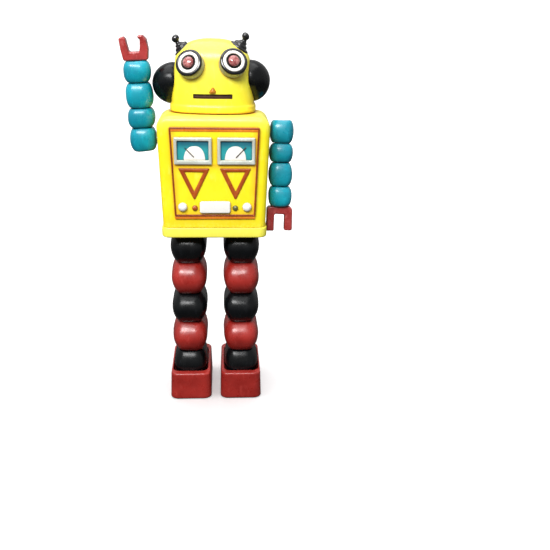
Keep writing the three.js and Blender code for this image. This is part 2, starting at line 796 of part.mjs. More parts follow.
function train() {
  const back = greatWheel.front + greatWheel.thick;
  const clickAngle = 90 * degree;
  const clickPivot = [12 * Math.cos(clickAngle), 12 * Math.sin(clickAngle)];
  // Teeth point down at the crank's pinion, which meets them with a space.
  const wheelForm = gear(greatWheel, -90 * degree, greatWheel.front, back);
  const lightening = [45, 135, 225, 315].map((angle) =>
    alongY(13 * Math.cos(angle * degree), 13 * Math.sin(angle * degree), -20, 0, 4.4, 10),
  );
  const wheelHoles = [alongY(0, 0, -20, 0, 2.3), alongY(...clickPivot, -20, 0, 1.4, 10), ...lightening];
  const wheel = cut(join(wheelForm, alongY(0, 0, greatWheel.front - 1.2, back, 4.4)), ...wheelHoles);
  add("great_wheel", "brass", wheel.translate(motor.x, 0, motor.z));

  const pawl = polygon([
    [clickPivot[0] - 2, clickPivot[1] + 2],
    [clickPivot[0] - 2, clickPivot[1] - 2],
    [6.1, 4.4],
    [6.7, 4.9],
    [clickPivot[0] + 2.6, clickPivot[1] + 0.6],
    [clickPivot[0] + 2, clickPivot[1] + 2],
  ]);
  const pivot = alongY(...clickPivot, greatWheel.front, back + 1, 1.1, 10);
  const click = join(upright(pawl, back + gap, back + 1.7), pivot);
  add("click", "steel", click.translate(motor.x, 0, motor.z));

  const pinionPhase = 90 * degree + 180 * degree / crankPinion.teeth;
  const crankForm = join(
    alongY(0, 0, -24.6, motor.back - 0.1, 1.2),
    gear(crankPinion, pinionPhase, -14, -9.5),
    gear(crankWheel, flyAngle, crankWheel.front, crankWheel.front + crankWheel.thick),
    alongY(0, 0, -24.9, -23.9, 4.5, 16),
    alongY(0, crankThrow, -25.7, -24.4, 1, 10),
  );
  add("crank_arbor", "steel", crankForm.translate(0, 0, crank.z));

  const flyPhase = flyAngle + 180 * degree + 180 * degree / flyPinion.teeth;
  const governor = join(
    alongY(0, 0, -23.5, motor.back - 0.1, 0.9),
    gear(flyPinion, flyPhase, -18, -14.5),
    alongY(0, 0, -6, 2, 2),
    block([-7, -5.5, -0.6], [7, 1.5, 0.6]),
  );
  add("governor", "steel", governor.translate(fly.x, 0, fly.z));
}

// The beam rocks by the angle that lifts a leg's lever through its own full swing.
const legSwing = 5;
const beamHalf = leg.x;
const beamRock = Math.asin((hip.leverReach * Math.sin(legSwing * degree)) / beamHalf) / degree;
const crankThrow = (crank.z - hip.z) * Math.sin(beamRock * degree);

function walkingBeam() {
  const front = -27.6;
  const back = -26;
  const arms = upright(
    polygon([
      [-beamHalf, -1.6],
      [0, -4],
      [beamHalf, -1.6],
      [beamHalf, 1.6],
      [4, 4],
      [3.4, crank.z - hip.z + 5],
      [-3.4, crank.z - hip.z + 5],
      [-4, 4],
      [-beamHalf, 1.6],
    ]),
    front,
    back,
  );
  const tips = [-1, 1].map((sign) => alongY(sign * beamHalf, 0, front, back, 2));
  const slot = rounded(-1.5, crank.z - hip.z - 2.4, 1.5, crank.z - hip.z + 2.4, 1.4);
  const beam = cut(join(arms, ...tips), upright(slot, -30, -20), alongY(0, 0, -30, -20, 1.8));
  add("walking_beam", "steel", beam.translate(0, 0, hip.z));
}

function hipAxle() {
  add("hip_axle", "steel", rod([-31, 0, hip.z], [31, 0, hip.z], hip.axle));
}

// ---------- Assembly ----------

torsoCasing();
basePan();
chest();
neckPost();
headPieces();
arms.forEach(armPieces);
sides.forEach(legPieces);
motorFrame();
mainspring();
windingPieces();
train();
walkingBeam();
hipAxle();

// The origin is the middle of the bounding box's bottom, on the surface the boots stand on.
const box = new THREE.Box3().setFromObject(robot, true);
robot.position.set(-(box.min.x + box.max.x) / 2, -(box.min.y + box.max.y) / 2, -box.min.z);

export default robot;
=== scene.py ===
"""Looks of a clockwork tin robot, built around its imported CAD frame.

Lengths are in millimetres until a piece is placed.
"""

import bmesh
import bpy
from math import atan2, copysign, cos, pi, radians, sin, sqrt, tan
from mathutils import Matrix, Vector, noise


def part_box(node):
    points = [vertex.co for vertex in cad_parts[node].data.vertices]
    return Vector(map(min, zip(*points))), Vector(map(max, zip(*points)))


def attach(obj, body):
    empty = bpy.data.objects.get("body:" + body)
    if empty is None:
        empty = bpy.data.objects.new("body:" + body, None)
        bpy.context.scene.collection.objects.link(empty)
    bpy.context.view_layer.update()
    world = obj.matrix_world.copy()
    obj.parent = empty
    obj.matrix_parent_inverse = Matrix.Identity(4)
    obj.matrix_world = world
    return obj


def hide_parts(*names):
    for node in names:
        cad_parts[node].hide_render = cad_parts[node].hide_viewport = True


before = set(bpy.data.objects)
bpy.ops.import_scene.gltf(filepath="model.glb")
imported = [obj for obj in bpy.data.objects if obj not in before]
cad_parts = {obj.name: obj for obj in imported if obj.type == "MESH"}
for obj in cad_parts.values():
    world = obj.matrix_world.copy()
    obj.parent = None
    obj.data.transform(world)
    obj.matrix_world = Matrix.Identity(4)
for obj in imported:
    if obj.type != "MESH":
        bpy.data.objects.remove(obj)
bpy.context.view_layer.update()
scene = bpy.context.scene
noise.seed_set(7)  # noise_vector is offset by this seed, and by the clock without it

# ---- The part's own frame ----

MM = 0.001
SIDES = (("left", 1), ("right", -1))
TORSO_FRONT, TORSO_BACK = -32.7, 13.8
TORSO_BOTTOM, TORSO_TOP = 154.1, 240.7
HALF_BELOW, HALF_ABOVE = 40.4, 43.6  # half the torso's width at its bottom and its top
WALL_LEAN = atan2(HALF_ABOVE - HALF_BELOW, TORSO_TOP - TORSO_BOTTOM)
pan_low, pan_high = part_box("base_pan")
casing_low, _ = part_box("torso_shell")
origin = Vector(((pan_low.x + pan_high.x) / 2, casing_low.y - TORSO_FRONT * MM, 0))
PART = Matrix.Translation(origin) @ Matrix.Scale(MM, 4)


def shift(x, y, z):
    return Matrix.Translation((x, y, z))


def spin(axis, degrees):
    return Matrix.Rotation(radians(degrees), 4, axis)


NECK_X, NECK_Y, NECK_RADIUS = -0.8, -5.0, 12.1
HEAD = PART @ shift(NECK_X, NECK_Y, 0) @ spin("Z", -4) @ shift(0, -NECK_Y, 0)
# The eyes, ears and antennas sit slightly out of level, turned about a point between mouth and nose.
TILT_Z = 256
TILTED = shift(0, 0, TILT_Z) @ spin("Y", -2.8) @ shift(0, 0, -TILT_Z)
ARM_Y = 2
ARM_LEAN = WALL_LEAN - radians(1)


def arm_frame(sign, x, z, turn):
    """An arm's place: its axis stands square to the leaning wall."""
    axis = Vector((sign * cos(WALL_LEAN), 0, -sin(WALL_LEAN)))
    return PART @ shift(sign * x, ARM_Y, z) @ spin(axis, -sign * turn) @ Matrix.Rotation(sign * ARM_LEAN, 4, "Y")


# ---- Materials ----


def set_range(node, *numbers):
    """Sets a Map Range node: from, from, to, to."""
    for key, number in zip(("From Min", "From Max", "To Min", "To Max"), numbers):
        node.inputs[key].default_value = number


class Paint:
    """Builds one procedural material, node by node."""

    def __init__(self, name):
        self.material = bpy.data.materials.new(name)
        self.material.use_nodes = True
        self.tree = self.material.node_tree
        self.shader = self.tree.nodes["Principled BSDF"]
        self.place = self.node("ShaderNodeTexCoord").outputs["Object"]

    def node(self, kind, **settings):
        made = self.tree.nodes.new(kind)
        for key, value in settings.items():
            setattr(made, key, value)
        return made

    def link(self, start, end):
        self.tree.links.new(start, end)

    def noise(self, size_mm, detail=3, roughness=0.55, stretch=(1, 1, 1)):
        mapping = self.node("ShaderNodeMapping")
        mapping.inputs["Scale"].default_value = stretch
        self.link(self.place, mapping.inputs["Vector"])
        made = self.node("ShaderNodeTexNoise")
        made.inputs["Scale"].default_value = 1000 / size_mm
        made.inputs["Detail"].default_value = detail
        made.inputs["Roughness"].default_value = roughness
        self.link(mapping.outputs[0], made.inputs["Vector"])
        return made.outputs["Fac"]

    def remap(self, value, low, high, to_low=0.0, to_high=1.0):
        """A smooth step from one range to another."""
        made = self.node("ShaderNodeMapRange", interpolation_type="SMOOTHSTEP")
        set_range(made, low, high, to_low, to_high)
        self.link(value, made.inputs["Value"])
        return made.outputs["Result"]

    def math(self, operation, *values):
        made = self.node("ShaderNodeMath", operation=operation)
        for socket, value in zip(made.inputs, values):
            if isinstance(value, (int, float)):
                socket.default_value = value
            else:
                self.link(value, socket)
        return made.outputs[0]

    def times(self, first, second):
        return self.math("MULTIPLY", first, second)

    def axis(self, letter):
        """An object coordinate, in the part's own millimetres."""
        split = self.node("ShaderNodeSeparateXYZ")
        self.link(self.place, split.inputs[0])
        zero = origin["XYZ".index(letter)]
        return self.times(self.math("SUBTRACT", split.outputs[letter], zero), 1000)

    def mix(self, share, first, second):
        made = self.node("ShaderNodeMix", data_type="RGBA", clamp_factor=True)
        self.link(share, made.inputs["Factor"])
        for key, value in (("A", first), ("B", second)):
            socket = [s for s in made.inputs if s.name == key and s.type == "RGBA"][0]
            if isinstance(value, tuple):
                socket.default_value = (*value, 1)
            else:
                self.link(value, socket)
        return [s for s in made.outputs if s.type == "RGBA"][0]

    def shade_corners(self, base, dark, distance_mm, low=0.3, most=0.8):
        """Painted shade: darkens a colour in corners, where another surface is nearer than the distance."""
        made = self.node("ShaderNodeAmbientOcclusion", samples=8)
        made.inputs["Distance"].default_value = distance_mm * MM
        return self.mix(self.remap(made.outputs["AO"], low, 0.95, most, 0), base, dark)

    def bump(self, *layers):
        """Layers of (height output, depth in mm)."""
        normal = None
        for height, depth in layers:
            made = self.node("ShaderNodeBump")
            made.inputs["Strength"].default_value = 1.0
            made.inputs["Distance"].default_value = depth * MM
            self.link(height, made.inputs["Height"])
            if normal is not None:
                self.link(normal, made.inputs["Normal"])
            normal = made.outputs["Normal"]
        self.link(normal, self.shader.inputs["Normal"])

    def finish(self, color, roughness, **numbers):
        self.link(color, self.shader.inputs["Base Color"])
        self.link(roughness, self.shader.inputs["Roughness"])
        for key, value in numbers.items():
            self.shader.inputs[key.replace("_", " ")].default_value = value
        return self.material


def enamel(
    name, color, shade, light, rough=(0.24, 0.38), worn=0.5, coat=0.35, corner_shade=None, tint_and_light=None, specular=0.5
):
    """Brushed-on gloss paint: soft patches, painted shade in the corners, thin paint on the edges."""
    paint = Paint(name)
    patches = paint.remap(paint.noise(22, 3), 0.35, 0.68)
    base = paint.mix(patches, color, shade)
    streaks = paint.remap(paint.noise(3.2, 4, 0.6, (1, 1, 0.35)), 0.52, 0.75, 0, 0.5)
    base = paint.mix(streaks, base, light)
    # An extra layer of colour, which on the yellows also holds painted highlight or shadow.
    if tint_and_light:
        base = tint_and_light(paint, base)
    # Painted shade: darker in corners and creases, where other surfaces come near.
    base = paint.shade_corners(base, corner_shade or tuple(c * 0.35 for c in shade), 4.5, 0.35, 0.85)
    pointiness = paint.node("ShaderNodeNewGeometry").outputs["Pointiness"]
    edge = paint.remap(pointiness, 0.515, 0.58, 0, worn)
    ragged = paint.remap(paint.noise(1.6, 4, 0.7), 0.4, 0.62)
    base = paint.mix(paint.times(edge, ragged), base, light)
    roughness = paint.remap(paint.noise(5, 4, 0.6), 0.3, 0.7, *rough)
    paint.bump((paint.noise(9, 2), 0.1), (paint.noise(1.3, 3), 0.012), (paint.noise(0.35, 2), 0.003))
    return paint.finish(
        base, roughness, Coat_Weight=coat, Coat_Roughness=0.12, IOR=1.5, Specular_IOR_Level=specular
    )


def metal(name, color, dark, rough=(0.22, 0.42), stretch=(1, 1, 8)):
    """Turned or drawn metal with fine scratches and dull patches."""
    paint = Paint(name)
    scratches = paint.noise(0.5, 4, 0.7, stretch)
    dull = paint.remap(paint.noise(7, 3), 0.4, 0.7)
    # Painted shade: darker in corners, where other surfaces come near.
    base = paint.shade_corners(paint.mix(dull, color, dark), tuple(c * 0.3 for c in dark), 2)
    roughness = paint.remap(scratches, 0.3, 0.7, *rough)
    paint.bump((scratches, 0.006), (paint.noise(3, 2), 0.01))
    return paint.finish(base, roughness, Metallic=1.0)


YELLOW = ((0.965, 0.875, 0.016), (0.95, 0.79, 0.01), (1.0, 0.93, 0.11))
# The paler yellow of the painted highlights.
HIGHLIGHT_PALE = (0.97, 0.94, 0.17)
# Orange for the panel's sprayed sides and bottom, and for its painted shadow under the dials.
AMBER_SPRAY_AND_SHADOW = (0.9, 0.4, 0.02)
# The chest panel's middle, its lower edge and half its width there.
CHEST_X, CHEST_Z, CHEST_HALF = 0.7, 164, 31.4


def torso_spray_and_highlight(paint, base):
    """Orange sprayed on the sides and a little above the skirt; a painted highlight pales the skirt's rim and the
    top.
    """
    x, y, z = (paint.axis(letter) for letter in "XYZ")
    side = paint.remap(paint.math("ABSOLUTE", x), 40.5, 42.5)
    back = paint.remap(y, -22, 2)
    up = paint.remap(z, 236, 218)
    cloud = paint.remap(paint.noise(26, 2), 0.3, 0.7, 0.55, 1)
    spray = paint.times(paint.times(side, back), paint.times(up, cloud))
    base = paint.mix(paint.times(spray, 0.75), base, (0.95, 0.47, 0.015))
    low = paint.times(paint.remap(z, 170, 156.5), paint.remap(z, 153, 155))
    base = paint.mix(paint.times(low, 0.3), base, (0.94, 0.56, 0.012))
    # Painted highlight: paler along the skirt's top edge and towards the torso's top.
    base = paint.mix(paint.remap(z, 155, 152, 0, 0.55), base, HIGHLIGHT_PALE)
    return paint.mix(paint.remap(z, 226, 240, 0, 0.45), base, HIGHLIGHT_PALE)


def panel_spray_and_shadow(paint, base):
    """Orange along the panel's slanted sides, and a painted shadow in a band under the dials."""
    x, z = paint.axis("X"), paint.axis("Z")
    widening = 0.0456
    half = paint.math("ADD", paint.times(paint.math("SUBTRACT", z, CHEST_Z), widening), CHEST_HALF)
    inwards = paint.math("SUBTRACT", half, paint.math("ABSOLUTE", paint.math("SUBTRACT", x, CHEST_X)))
    cloud = paint.remap(paint.noise(12, 2), 0.3, 0.7, 0.6, 1)
    side = paint.times(paint.remap(inwards, 6.5, 0.5), cloud)
    base = paint.mix(paint.times(side, 0.72), base, AMBER_SPRAY_AND_SHADOW)
    base = paint.mix(paint.times(paint.remap(z, 172, 164), 0.45), base, AMBER_SPRAY_AND_SHADOW)
    # Painted shadow: orange in a band just under the dial frames.
    shadow_under_dials = paint.times(paint.remap(z, 199, 204), paint.remap(z, 206, 204))
    return paint.mix(paint.times(shadow_under_dials, 0.55), base, AMBER_SPRAY_AND_SHADOW)


def head_orange_and_highlight(paint, base):
    """A breath of orange under the ears, and a painted highlight that makes the yellow paler towards the crown."""
    x, z = paint.axis("X"), paint.axis("Z")
    side = paint.remap(paint.math("ABSOLUTE", x), 24, 31)
    low = paint.times(paint.remap(z, 256, 248), paint.remap(z, 240, 247))
    base = paint.mix(paint.times(paint.times(side, low), 0.4), base, (0.95, 0.5, 0.02))
    # Painted highlight: paler towards the crown.
    return paint.mix(paint.remap(z, 246, 285, 0.1, 0.42), base, HIGHLIGHT_PALE)


# Yellow enamel, with orange-brown painted shade in its corners.
def yellow_paint(name, tint_and_light):
    return enamel(name, *YELLOW, rough=(0.3, 0.42), worn=0.35, coat=0.15, corner_shade=(0.62, 0.2, 0.01), tint_and_light=tint_and_light)


torso_yellow = yellow_paint("torso_yellow", torso_spray_and_highlight)
panel_yellow = yellow_paint("panel_yellow", panel_spray_and_shadow)
head_yellow = yellow_paint("head_yellow", head_orange_and_highlight)
# Near-black for the painted shade in the corners of the black paints.
BLACK_CORNER_SHADE = (0.002, 0.002, 0.003)
BLACK = ((0.003, 0.0035, 0.004), (0.004, 0.005, 0.006), (0.012, 0.014, 0.016))
SHINY_BLACK = ((0.005, 0.005, 0.006), (0.008, 0.008, 0.009), (0.03, 0.03, 0.033))
black = enamel("black_gloss", *BLACK, rough=(0.2, 0.32), worn=0.2, coat=0.0, corner_shade=BLACK_CORNER_SHADE, specular=0.24)
black_shine = enamel("black_shine", *SHINY_BLACK, rough=(0.12, 0.24), worn=0.3, coat=0.5, corner_shade=BLACK_CORNER_SHADE)
red = enamel("brick_red", (0.37, 0.024, 0.018), (0.27, 0.014, 0.01), (0.5, 0.06, 0.05), worn=0.4, coat=0.1)
claw_red = enamel("claw_red", (0.42, 0.035, 0.032), (0.27, 0.016, 0.014), (0.72, 0.2, 0.19), worn=0.7, coat=0.3)
teal = enamel("teal_gloss", (0.003, 0.335, 0.44), (0.002, 0.22, 0.31), (0.012, 0.46, 0.58), worn=0.35, coat=0.15)
brick = enamel("brick_line", (0.44, 0.085, 0.01), (0.33, 0.05, 0.006), (0.6, 0.16, 0.02), worn=0.4, coat=0.1)
border_brown = enamel("border_line", (0.34, 0.055, 0.01), (0.22, 0.03, 0.006), (0.5, 0.13, 0.02), coat=0.1)
orange = enamel("orange_band", (0.8, 0.22, 0.015), (0.68, 0.15, 0.01), (0.9, 0.34, 0.03), coat=0.1)
ochre = enamel("ochre_nose", (0.5, 0.18, 0.012), (0.38, 0.11, 0.01), (0.75, 0.36, 0.03), coat=0.1)
# The colour given last to white and both silvers is that of their painted shade in the corners.
white = enamel("white_enamel", (0.92, 0.92, 0.9), (0.86, 0.85, 0.79), (0.97, 0.97, 0.96), corner_shade=(0.55, 0.4, 0.18))
silver = enamel(
    "silver_paint", (0.6, 0.64, 0.58), (0.46, 0.49, 0.42), (0.88, 0.9, 0.86), corner_shade=(0.32, 0.22, 0.07)
)
can_silver = enamel(
    "eye_silver", (0.42, 0.43, 0.42), (0.25, 0.25, 0.25), (0.75, 0.76, 0.75), corner_shade=(0.03, 0.03, 0.03)
)
lamp_orange = enamel("lamp_orange", (0.42, 0.085, 0.01), (0.3, 0.05, 0.008), (0.65, 0.22, 0.04))
lamp_olive = enamel("lamp_olive", (0.17, 0.17, 0.045), (0.11, 0.11, 0.03), (0.3, 0.3, 0.1))
mouth_brown = enamel(
    "mouth_brown", (0.075, 0.022, 0.006), (0.04, 0.012, 0.004), (0.2, 0.075, 0.02), rough=(0.45, 0.6), coat=0.0
)
needle_dark = enamel("needle_dark", (0.075, 0.05, 0.06), (0.05, 0.035, 0.045), (0.12, 0.1, 0.1))
steel = metal("bright_steel", (0.6, 0.61, 0.62), (0.46, 0.46, 0.47))
brass = metal("sheet_brass", (0.72, 0.55, 0.24), (0.56, 0.4, 0.16), stretch=(8, 1, 1))


def dial_teal():
    """The dial's ground: teal with painted shade, darker and bluer towards the top and in its corners."""
    paint = Paint("dial_teal")
    # Painted shade: darker and bluer towards the top, under the frame's upper edge.
    up = paint.remap(paint.axis("Z"), 215, 221)
    base = paint.mix(up, (0.03, 0.36, 0.38), (0.01, 0.13, 0.19))
    base = paint.mix(paint.remap(paint.noise(4, 3), 0.4, 0.7, 0, 0.4), base, (0.012, 0.25, 0.29))
    # Painted shade in the corners of the dial's recess.
    base = paint.shade_corners(base, (0.004, 0.05, 0.07), 1.6)
    paint.bump((paint.noise(1.2, 3), 0.02))
    return paint.finish(base, paint.remap(paint.noise(3), 0.3, 0.7, 0.3, 0.45), Coat_Weight=0.2)


def pearl_lens():
    """Pearly pink-red, paler and streaked towards its crown."""
    paint = Paint("pearl_lens")
    swirl = paint.noise(4.2, 4, 0.6)
    base = paint.mix(paint.remap(swirl, 0.42, 0.62), (0.24, 0.04, 0.04), (0.46, 0.165, 0.155))
    base = paint.mix(paint.remap(paint.noise(1.1, 3), 0.52, 0.72, 0, 0.6), base, (0.74, 0.42, 0.4))
    # Painted shade: darker where the ring and core around it come close.
    base = paint.shade_corners(base, (0.1, 0.008, 0.012), 1.8, 0.35, 0.85)
    roughness = paint.remap(paint.noise(2), 0.3, 0.7, 0.1, 0.2)
    paint.bump((swirl, 0.04))
    return paint.finish(base, roughness, Coat_Weight=0.8, Coat_Roughness=0.05)


dial_ground = dial_teal()
lens_pink = pearl_lens()

# ---- Mesh helpers ----


def piece(
    name, body, slot, paint, verts, faces, place=PART, stands_for=(), sharp=38, wave=None, weighted=False
):
    """One mesh piece: placed, smoothed with its real edges kept sharp, painted and fixed to its body.

    Its wave is a small hand-made waviness: the most it moves a point, its size, and a seed.
    """
    points = [Vector(v) for v in verts]
    if wave:
        amount, scale, seed = wave
        offset = Vector((seed * 17.3, seed * 5.1, seed * 9.7))
        points = [p + noise.noise_vector(p * (1 / scale) + offset) * amount for p in points]
    mesh = bpy.data.meshes.new(name)
    mesh.from_pydata([place @ p for p in points], [], faces)
    mesh.materials.append(paint)
    obj = bpy.data.objects.new(name, mesh)
    scene.collection.objects.link(obj)
    dress(obj, sharp)
    if weighted:
        weigh(obj)
    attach(obj, body)
    if stands_for:
        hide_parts(*stands_for)
    return obj


def dress(obj, sharp):
    """Welds and smooths a mesh, but keeps edges sharp from an angle in degrees."""
    bm = bmesh.new()
    bm.from_mesh(obj.data)
    bmesh.ops.remove_doubles(bm, verts=bm.verts, dist=1e-7)
    bmesh.ops.recalc_face_normals(bm, faces=bm.faces)
    limit = radians(sharp)
    for face in bm.faces:
        face.smooth = True
    for edge in bm.edges:
        edge.smooth = len(edge.link_faces) == 2 and edge.calc_face_angle(0) < limit
    bm.to_mesh(obj.data)
    bm.free()


def weigh(obj):
    """Keeps large flat faces looking flat beside small rounded ones."""
    modifier = obj.modifiers.new("weighted", "WEIGHTED_NORMAL")
    modifier.keep_sharp = True
    modifier.weight = 80


def baked(obj):
    """Turns an object's modifiers into plain mesh."""
    bpy.context.view_layer.update()
    graph = bpy.context.evaluated_depsgraph_get()
    mesh = bpy.data.meshes.new_from_object(obj.evaluated_get(graph))
    obj.modifiers.clear()
    obj.data = mesh


def carve(obj, *cutters):
    """Cuts closed tools out of a piece."""
    sharp = 50
    for verts, faces, place in cutters:
        mesh = bpy.data.meshes.new("cutter")
        mesh.from_pydata([place @ Vector(v) for v in verts], [], faces)
        tool = bpy.data.objects.new("cutter", mesh)
        scene.collection.objects.link(tool)
        dress(tool, sharp)
        modifier = obj.modifiers.new("carve", "BOOLEAN")
        modifier.operation = "DIFFERENCE"
        modifier.solver = "EXACT"
        modifier.object = tool
        baked(obj)
        bpy.data.objects.remove(tool)
    dress(obj, sharp)


OPEN = (False, False)


def stitch(rings, closed=False, caps=(True, True)):
    """Faces between equal rings of points, with its ends closed onto their middles."""
    count = len(rings[0])
    verts = [p for ring in rings for p in ring]
    faces = []
    steps = len(rings) if closed else len(rings) - 1
    for r in range(steps):
        a, b = r * count, ((r + 1) % len(rings)) * count
        for i in range(count):
            j = (i + 1) % count
            faces.append((a + i, a + j, b + j, b + i))
    if not closed:
        for wanted, ring, start in zip(caps, (rings[0], rings[-1]), (0, len(verts) - count)):
            if wanted:
                middle = sum((Vector(p) for p in ring), Vector()) / count
                verts.append(tuple(middle))
                faces += [(start + i, start + (i + 1) % count, len(verts) - 1) for i in range(count)]
    return verts, faces


def merge(*parts):
    verts, faces = [], []
    for part_verts, part_faces in parts:
        start = len(verts)
        verts += [tuple(v) for v in part_verts]
        faces += [tuple(start + i for i in face) for face in part_faces]
    return verts, faces


def moved(part, matrix):
    verts, faces = part
    return [tuple(matrix @ Vector(v)) for v in verts], faces


def spline(points, steps=6):
    """A smooth curve through the points of a profile."""
    result = []
    last = len(points) - 1
    for i in range(last):
        p0, p1, p2, p3 = (Vector(points[min(max(k, 0), last)]) for k in (i - 1, i, i + 1, i + 2))
        for step in range(steps):
            t = step / steps
            value = 0.5 * (
                2 * p1
                + (p2 - p0) * t
                + (2 * p0 - 5 * p1 + 4 * p2 - p3) * t**2
                + (3 * p1 - p0 - 3 * p2 + p3) * t**3
            )
            result.append(tuple(value))
    result.append(tuple(points[last]))
    return result


def oval(half_x, half_y, power, z, count=72, centre=(0, 0)):
    """A ring in plan, from an ellipse at power 2 to a rounded rectangle above it."""
    ring = []
    for i in range(count):
        a = 2 * pi * (i + 0.5) / count
        c, s = cos(a), sin(a)
        x = copysign(abs(c) ** (2 / power), c) * half_x
        y = copysign(abs(s) ** (2 / power), s) * half_y
        ring.append((centre[0] + x, centre[1] + y, z))
    return ring


def rounded_ring(left, right, front, back, radius, z, corner=8, side=6):
    """A rounded rectangle in plan, with the same number of points whatever its size."""
    ring = []
    corners = (
        (right - radius, back - radius, 0),
        (left + radius, back - radius, 90),
        (left + radius, front + radius, 180),
        (right - radius, front + radius, 270),
    )
    for k, (cx, cy, start) in enumerate(corners):
        for i in range(corner + 1):
            a = radians(start + 90 * i / corner)
            ring.append((cx + radius * cos(a), cy + radius * sin(a), z))
        nx, ny, nstart = corners[(k + 1) % 4]
        a = radians(nstart)
        end = Vector((nx + radius * cos(a), ny + radius * sin(a), z))
        begin = Vector(ring[-1])
        ring += [tuple(begin.lerp(end, i / side)) for i in range(1, side)]
    return ring


def turned(profile, count=48, caps=(True, True)):
    """A turned piece about Z, from [radius, height] points up its outside."""
    angles = [2 * pi * i / count for i in range(count)]
    rings = [[(r * cos(a), r * sin(a), height) for a in angles] for r, height in profile]
    return stitch(rings, caps=caps)


def round_off(points, radius, steps=5):
    """An outline with its corners rounded. A corner may carry its own radius as a third number."""
    result = []
    count = len(points)
    for i, point in enumerate(points):
        own = point[2] if len(point) > 2 else radius
        here = Vector(point[:2])
        before = Vector(points[i - 1][:2]) - here
        after = Vector(points[(i + 1) % count][:2]) - here
        half = before.angle(after) / 2
        reach = min(own / tan(half), 0.49 * before.length, 0.49 * after.length)
        start, end = here + before.normalized() * reach, here + after.normalized() * reach
        for step in range(steps + 1):
            t = step / steps
            result.append(tuple(start * (1 - t) ** 2 + here * 2 * t * (1 - t) + end * t**2))
    return result


def box_outline(left, low, right, high, radius, steps=5):
    return round_off([(left, low), (right, low), (right, high), (left, high)], radius, steps)


def shrink(points, distance):
    """An outline moved inwards by a distance. The outline runs anticlockwise."""
    result = []
    count = len(points)
    for i in range(count):
        a, b, c = Vector(points[i - 1]), Vector(points[i]), Vector(points[(i + 1) % count])
        first, second = (b - a), (c - b)
        if first.length < 1e-9 or second.length < 1e-9:
            result.append(tuple(b))
            continue
        first.normalize()
        second.normalize()
        n1, n2 = Vector((-first.y, first.x)), Vector((-second.y, second.x))
        middle = n1 + n2
        if middle.length < 1e-6:
            middle = n1
        middle.normalize()
        result.append(tuple(b + middle * (distance / max(middle.dot(n1), 0.35))))
    return result


def contour(corners, inset, steps=4):
    """A rounded outline inset by a distance, from sharp corners (x, z, radius) that run anticlockwise."""
    sharp = [(x, z) for x, z, _ in corners]
    moved_in = shrink(sharp, inset) if inset > 1e-9 else sharp
    result = []
    count = len(corners)
    for i in range(count):
        before = Vector(sharp[i]) - Vector(sharp[i - 1])
        after = Vector(sharp[(i + 1) % count]) - Vector(sharp[i])
        convex = before.x * after.y - before.y * after.x > 0
        radius = corners[i][2] - inset if convex else corners[i][2] + inset
        result.append((*moved_in[i], max(radius, 0.15)))
    return round_off(result, 1, steps)


def quarter(steps):
    """The angles of a quarter turn."""
    return [pi / 2 * i / steps for i in range(steps + 1)]


def plate(outline, front, back, bevel, both=False, steps=4):
    """A slab in the XZ plane between two Y values, with its front edge rounded, and its back too if asked.

    The outline is a list of points, or a function that gives them for an inset.
    """
    levels = [(0, back)]
    if both:
        levels = [(bevel * (1 - sin(a)), back - bevel * (1 - cos(a))) for a in quarter(steps)]
    levels += [(bevel * (1 - cos(a)), front + bevel * (1 - sin(a))) for a in quarter(steps)]
    rings = []
    for inset, y in levels:
        if callable(outline):
            points = outline(inset)
        else:
            points = shrink(outline, inset) if inset > 1e-9 else outline
        rings.append([(x, y, z) for x, z in points])
    verts, faces = stitch(rings, caps=OPEN)
    count = len(rings[0])
    faces.append(tuple(range(count)))
    faces.append(tuple(range(len(verts) - count, len(verts))))
    return verts, faces


def frame_ring(outer, inner, front, back, bevel, inner_bevel=None, steps=4):
    """A raised frame between two outlines of equal count, rounded along both of its front edges."""
    inner_bevel = inner_bevel or bevel
    rings = [[(x, back, z) for x, z in outer]]
    for a in quarter(steps):
        ring = shrink(outer, max(bevel * (1 - cos(a)), 1e-6))
        rings.append([(x, front + bevel * (1 - sin(a)), z) for x, z in ring])
    for a in reversed(quarter(steps)):
        ring = widen(inner, inner_bevel * (1 - cos(a)))
        rings.append([(x, front + inner_bevel * (1 - sin(a)), z) for x, z in ring])
    rings.append([(x, back, z) for x, z in inner])
    return stitch(rings, closed=True)


def widen(points, distance):
    """An outline moved outwards by a distance."""
    return shrink(points[::-1], distance)[::-1] if distance > 1e-6 else points


# ---- Torso ----

CORNER = 5.0  # radius of the upright edges
SHOULDER = 10.0  # radius of the top edges at the sides
EDGE = 5.0  # and at the front and back
SEAM = 10.75  # where the rear cover meets the casing
SEAM_HALF = 0.15
TIN = 1.2


def torso_half(z):
    return HALF_BELOW + (HALF_ABOVE - HALF_BELOW) * (z - TORSO_BOTTOM) / (TORSO_TOP - TORSO_BOTTOM)


def torso_rings():
    """The torso's shell from its open bottom up to the edge of the neck's hole."""
    rings = []
    spring = TORSO_TOP - SHOULDER
    walls = 14
    for i in range(walls):
        z = TORSO_BOTTOM + (spring - TORSO_BOTTOM) * i / walls
        rings.append(rounded_ring(-torso_half(z), torso_half(z), TORSO_FRONT, TORSO_BACK, CORNER, z))
    for a in quarter(16):
        z = spring + SHOULDER * sin(a)
        lift = max(0.0, (z - TORSO_TOP + EDGE) / EDGE)
        inset_y = EDGE * (1 - sqrt(max(0.0, 1 - lift * lift)))
        half = torso_half(spring) - SHOULDER * (1 - cos(a)) + 0.2 * sin(a)
        rings.append(rounded_ring(-half, half, TORSO_FRONT + inset_y, TORSO_BACK - inset_y, CORNER, z))
    last = rings[-1]
    centre = Vector((NECK_X, NECK_Y, TORSO_TOP))
    for share in (0.15, 0.35, 0.6, 0.82, 1):
        ring = []
        for point in map(Vector, last):
            away = (point - centre).normalized() * NECK_RADIUS
            ring.append(tuple(point.lerp(centre + away, share)))
        rings.append(ring)
    return rings


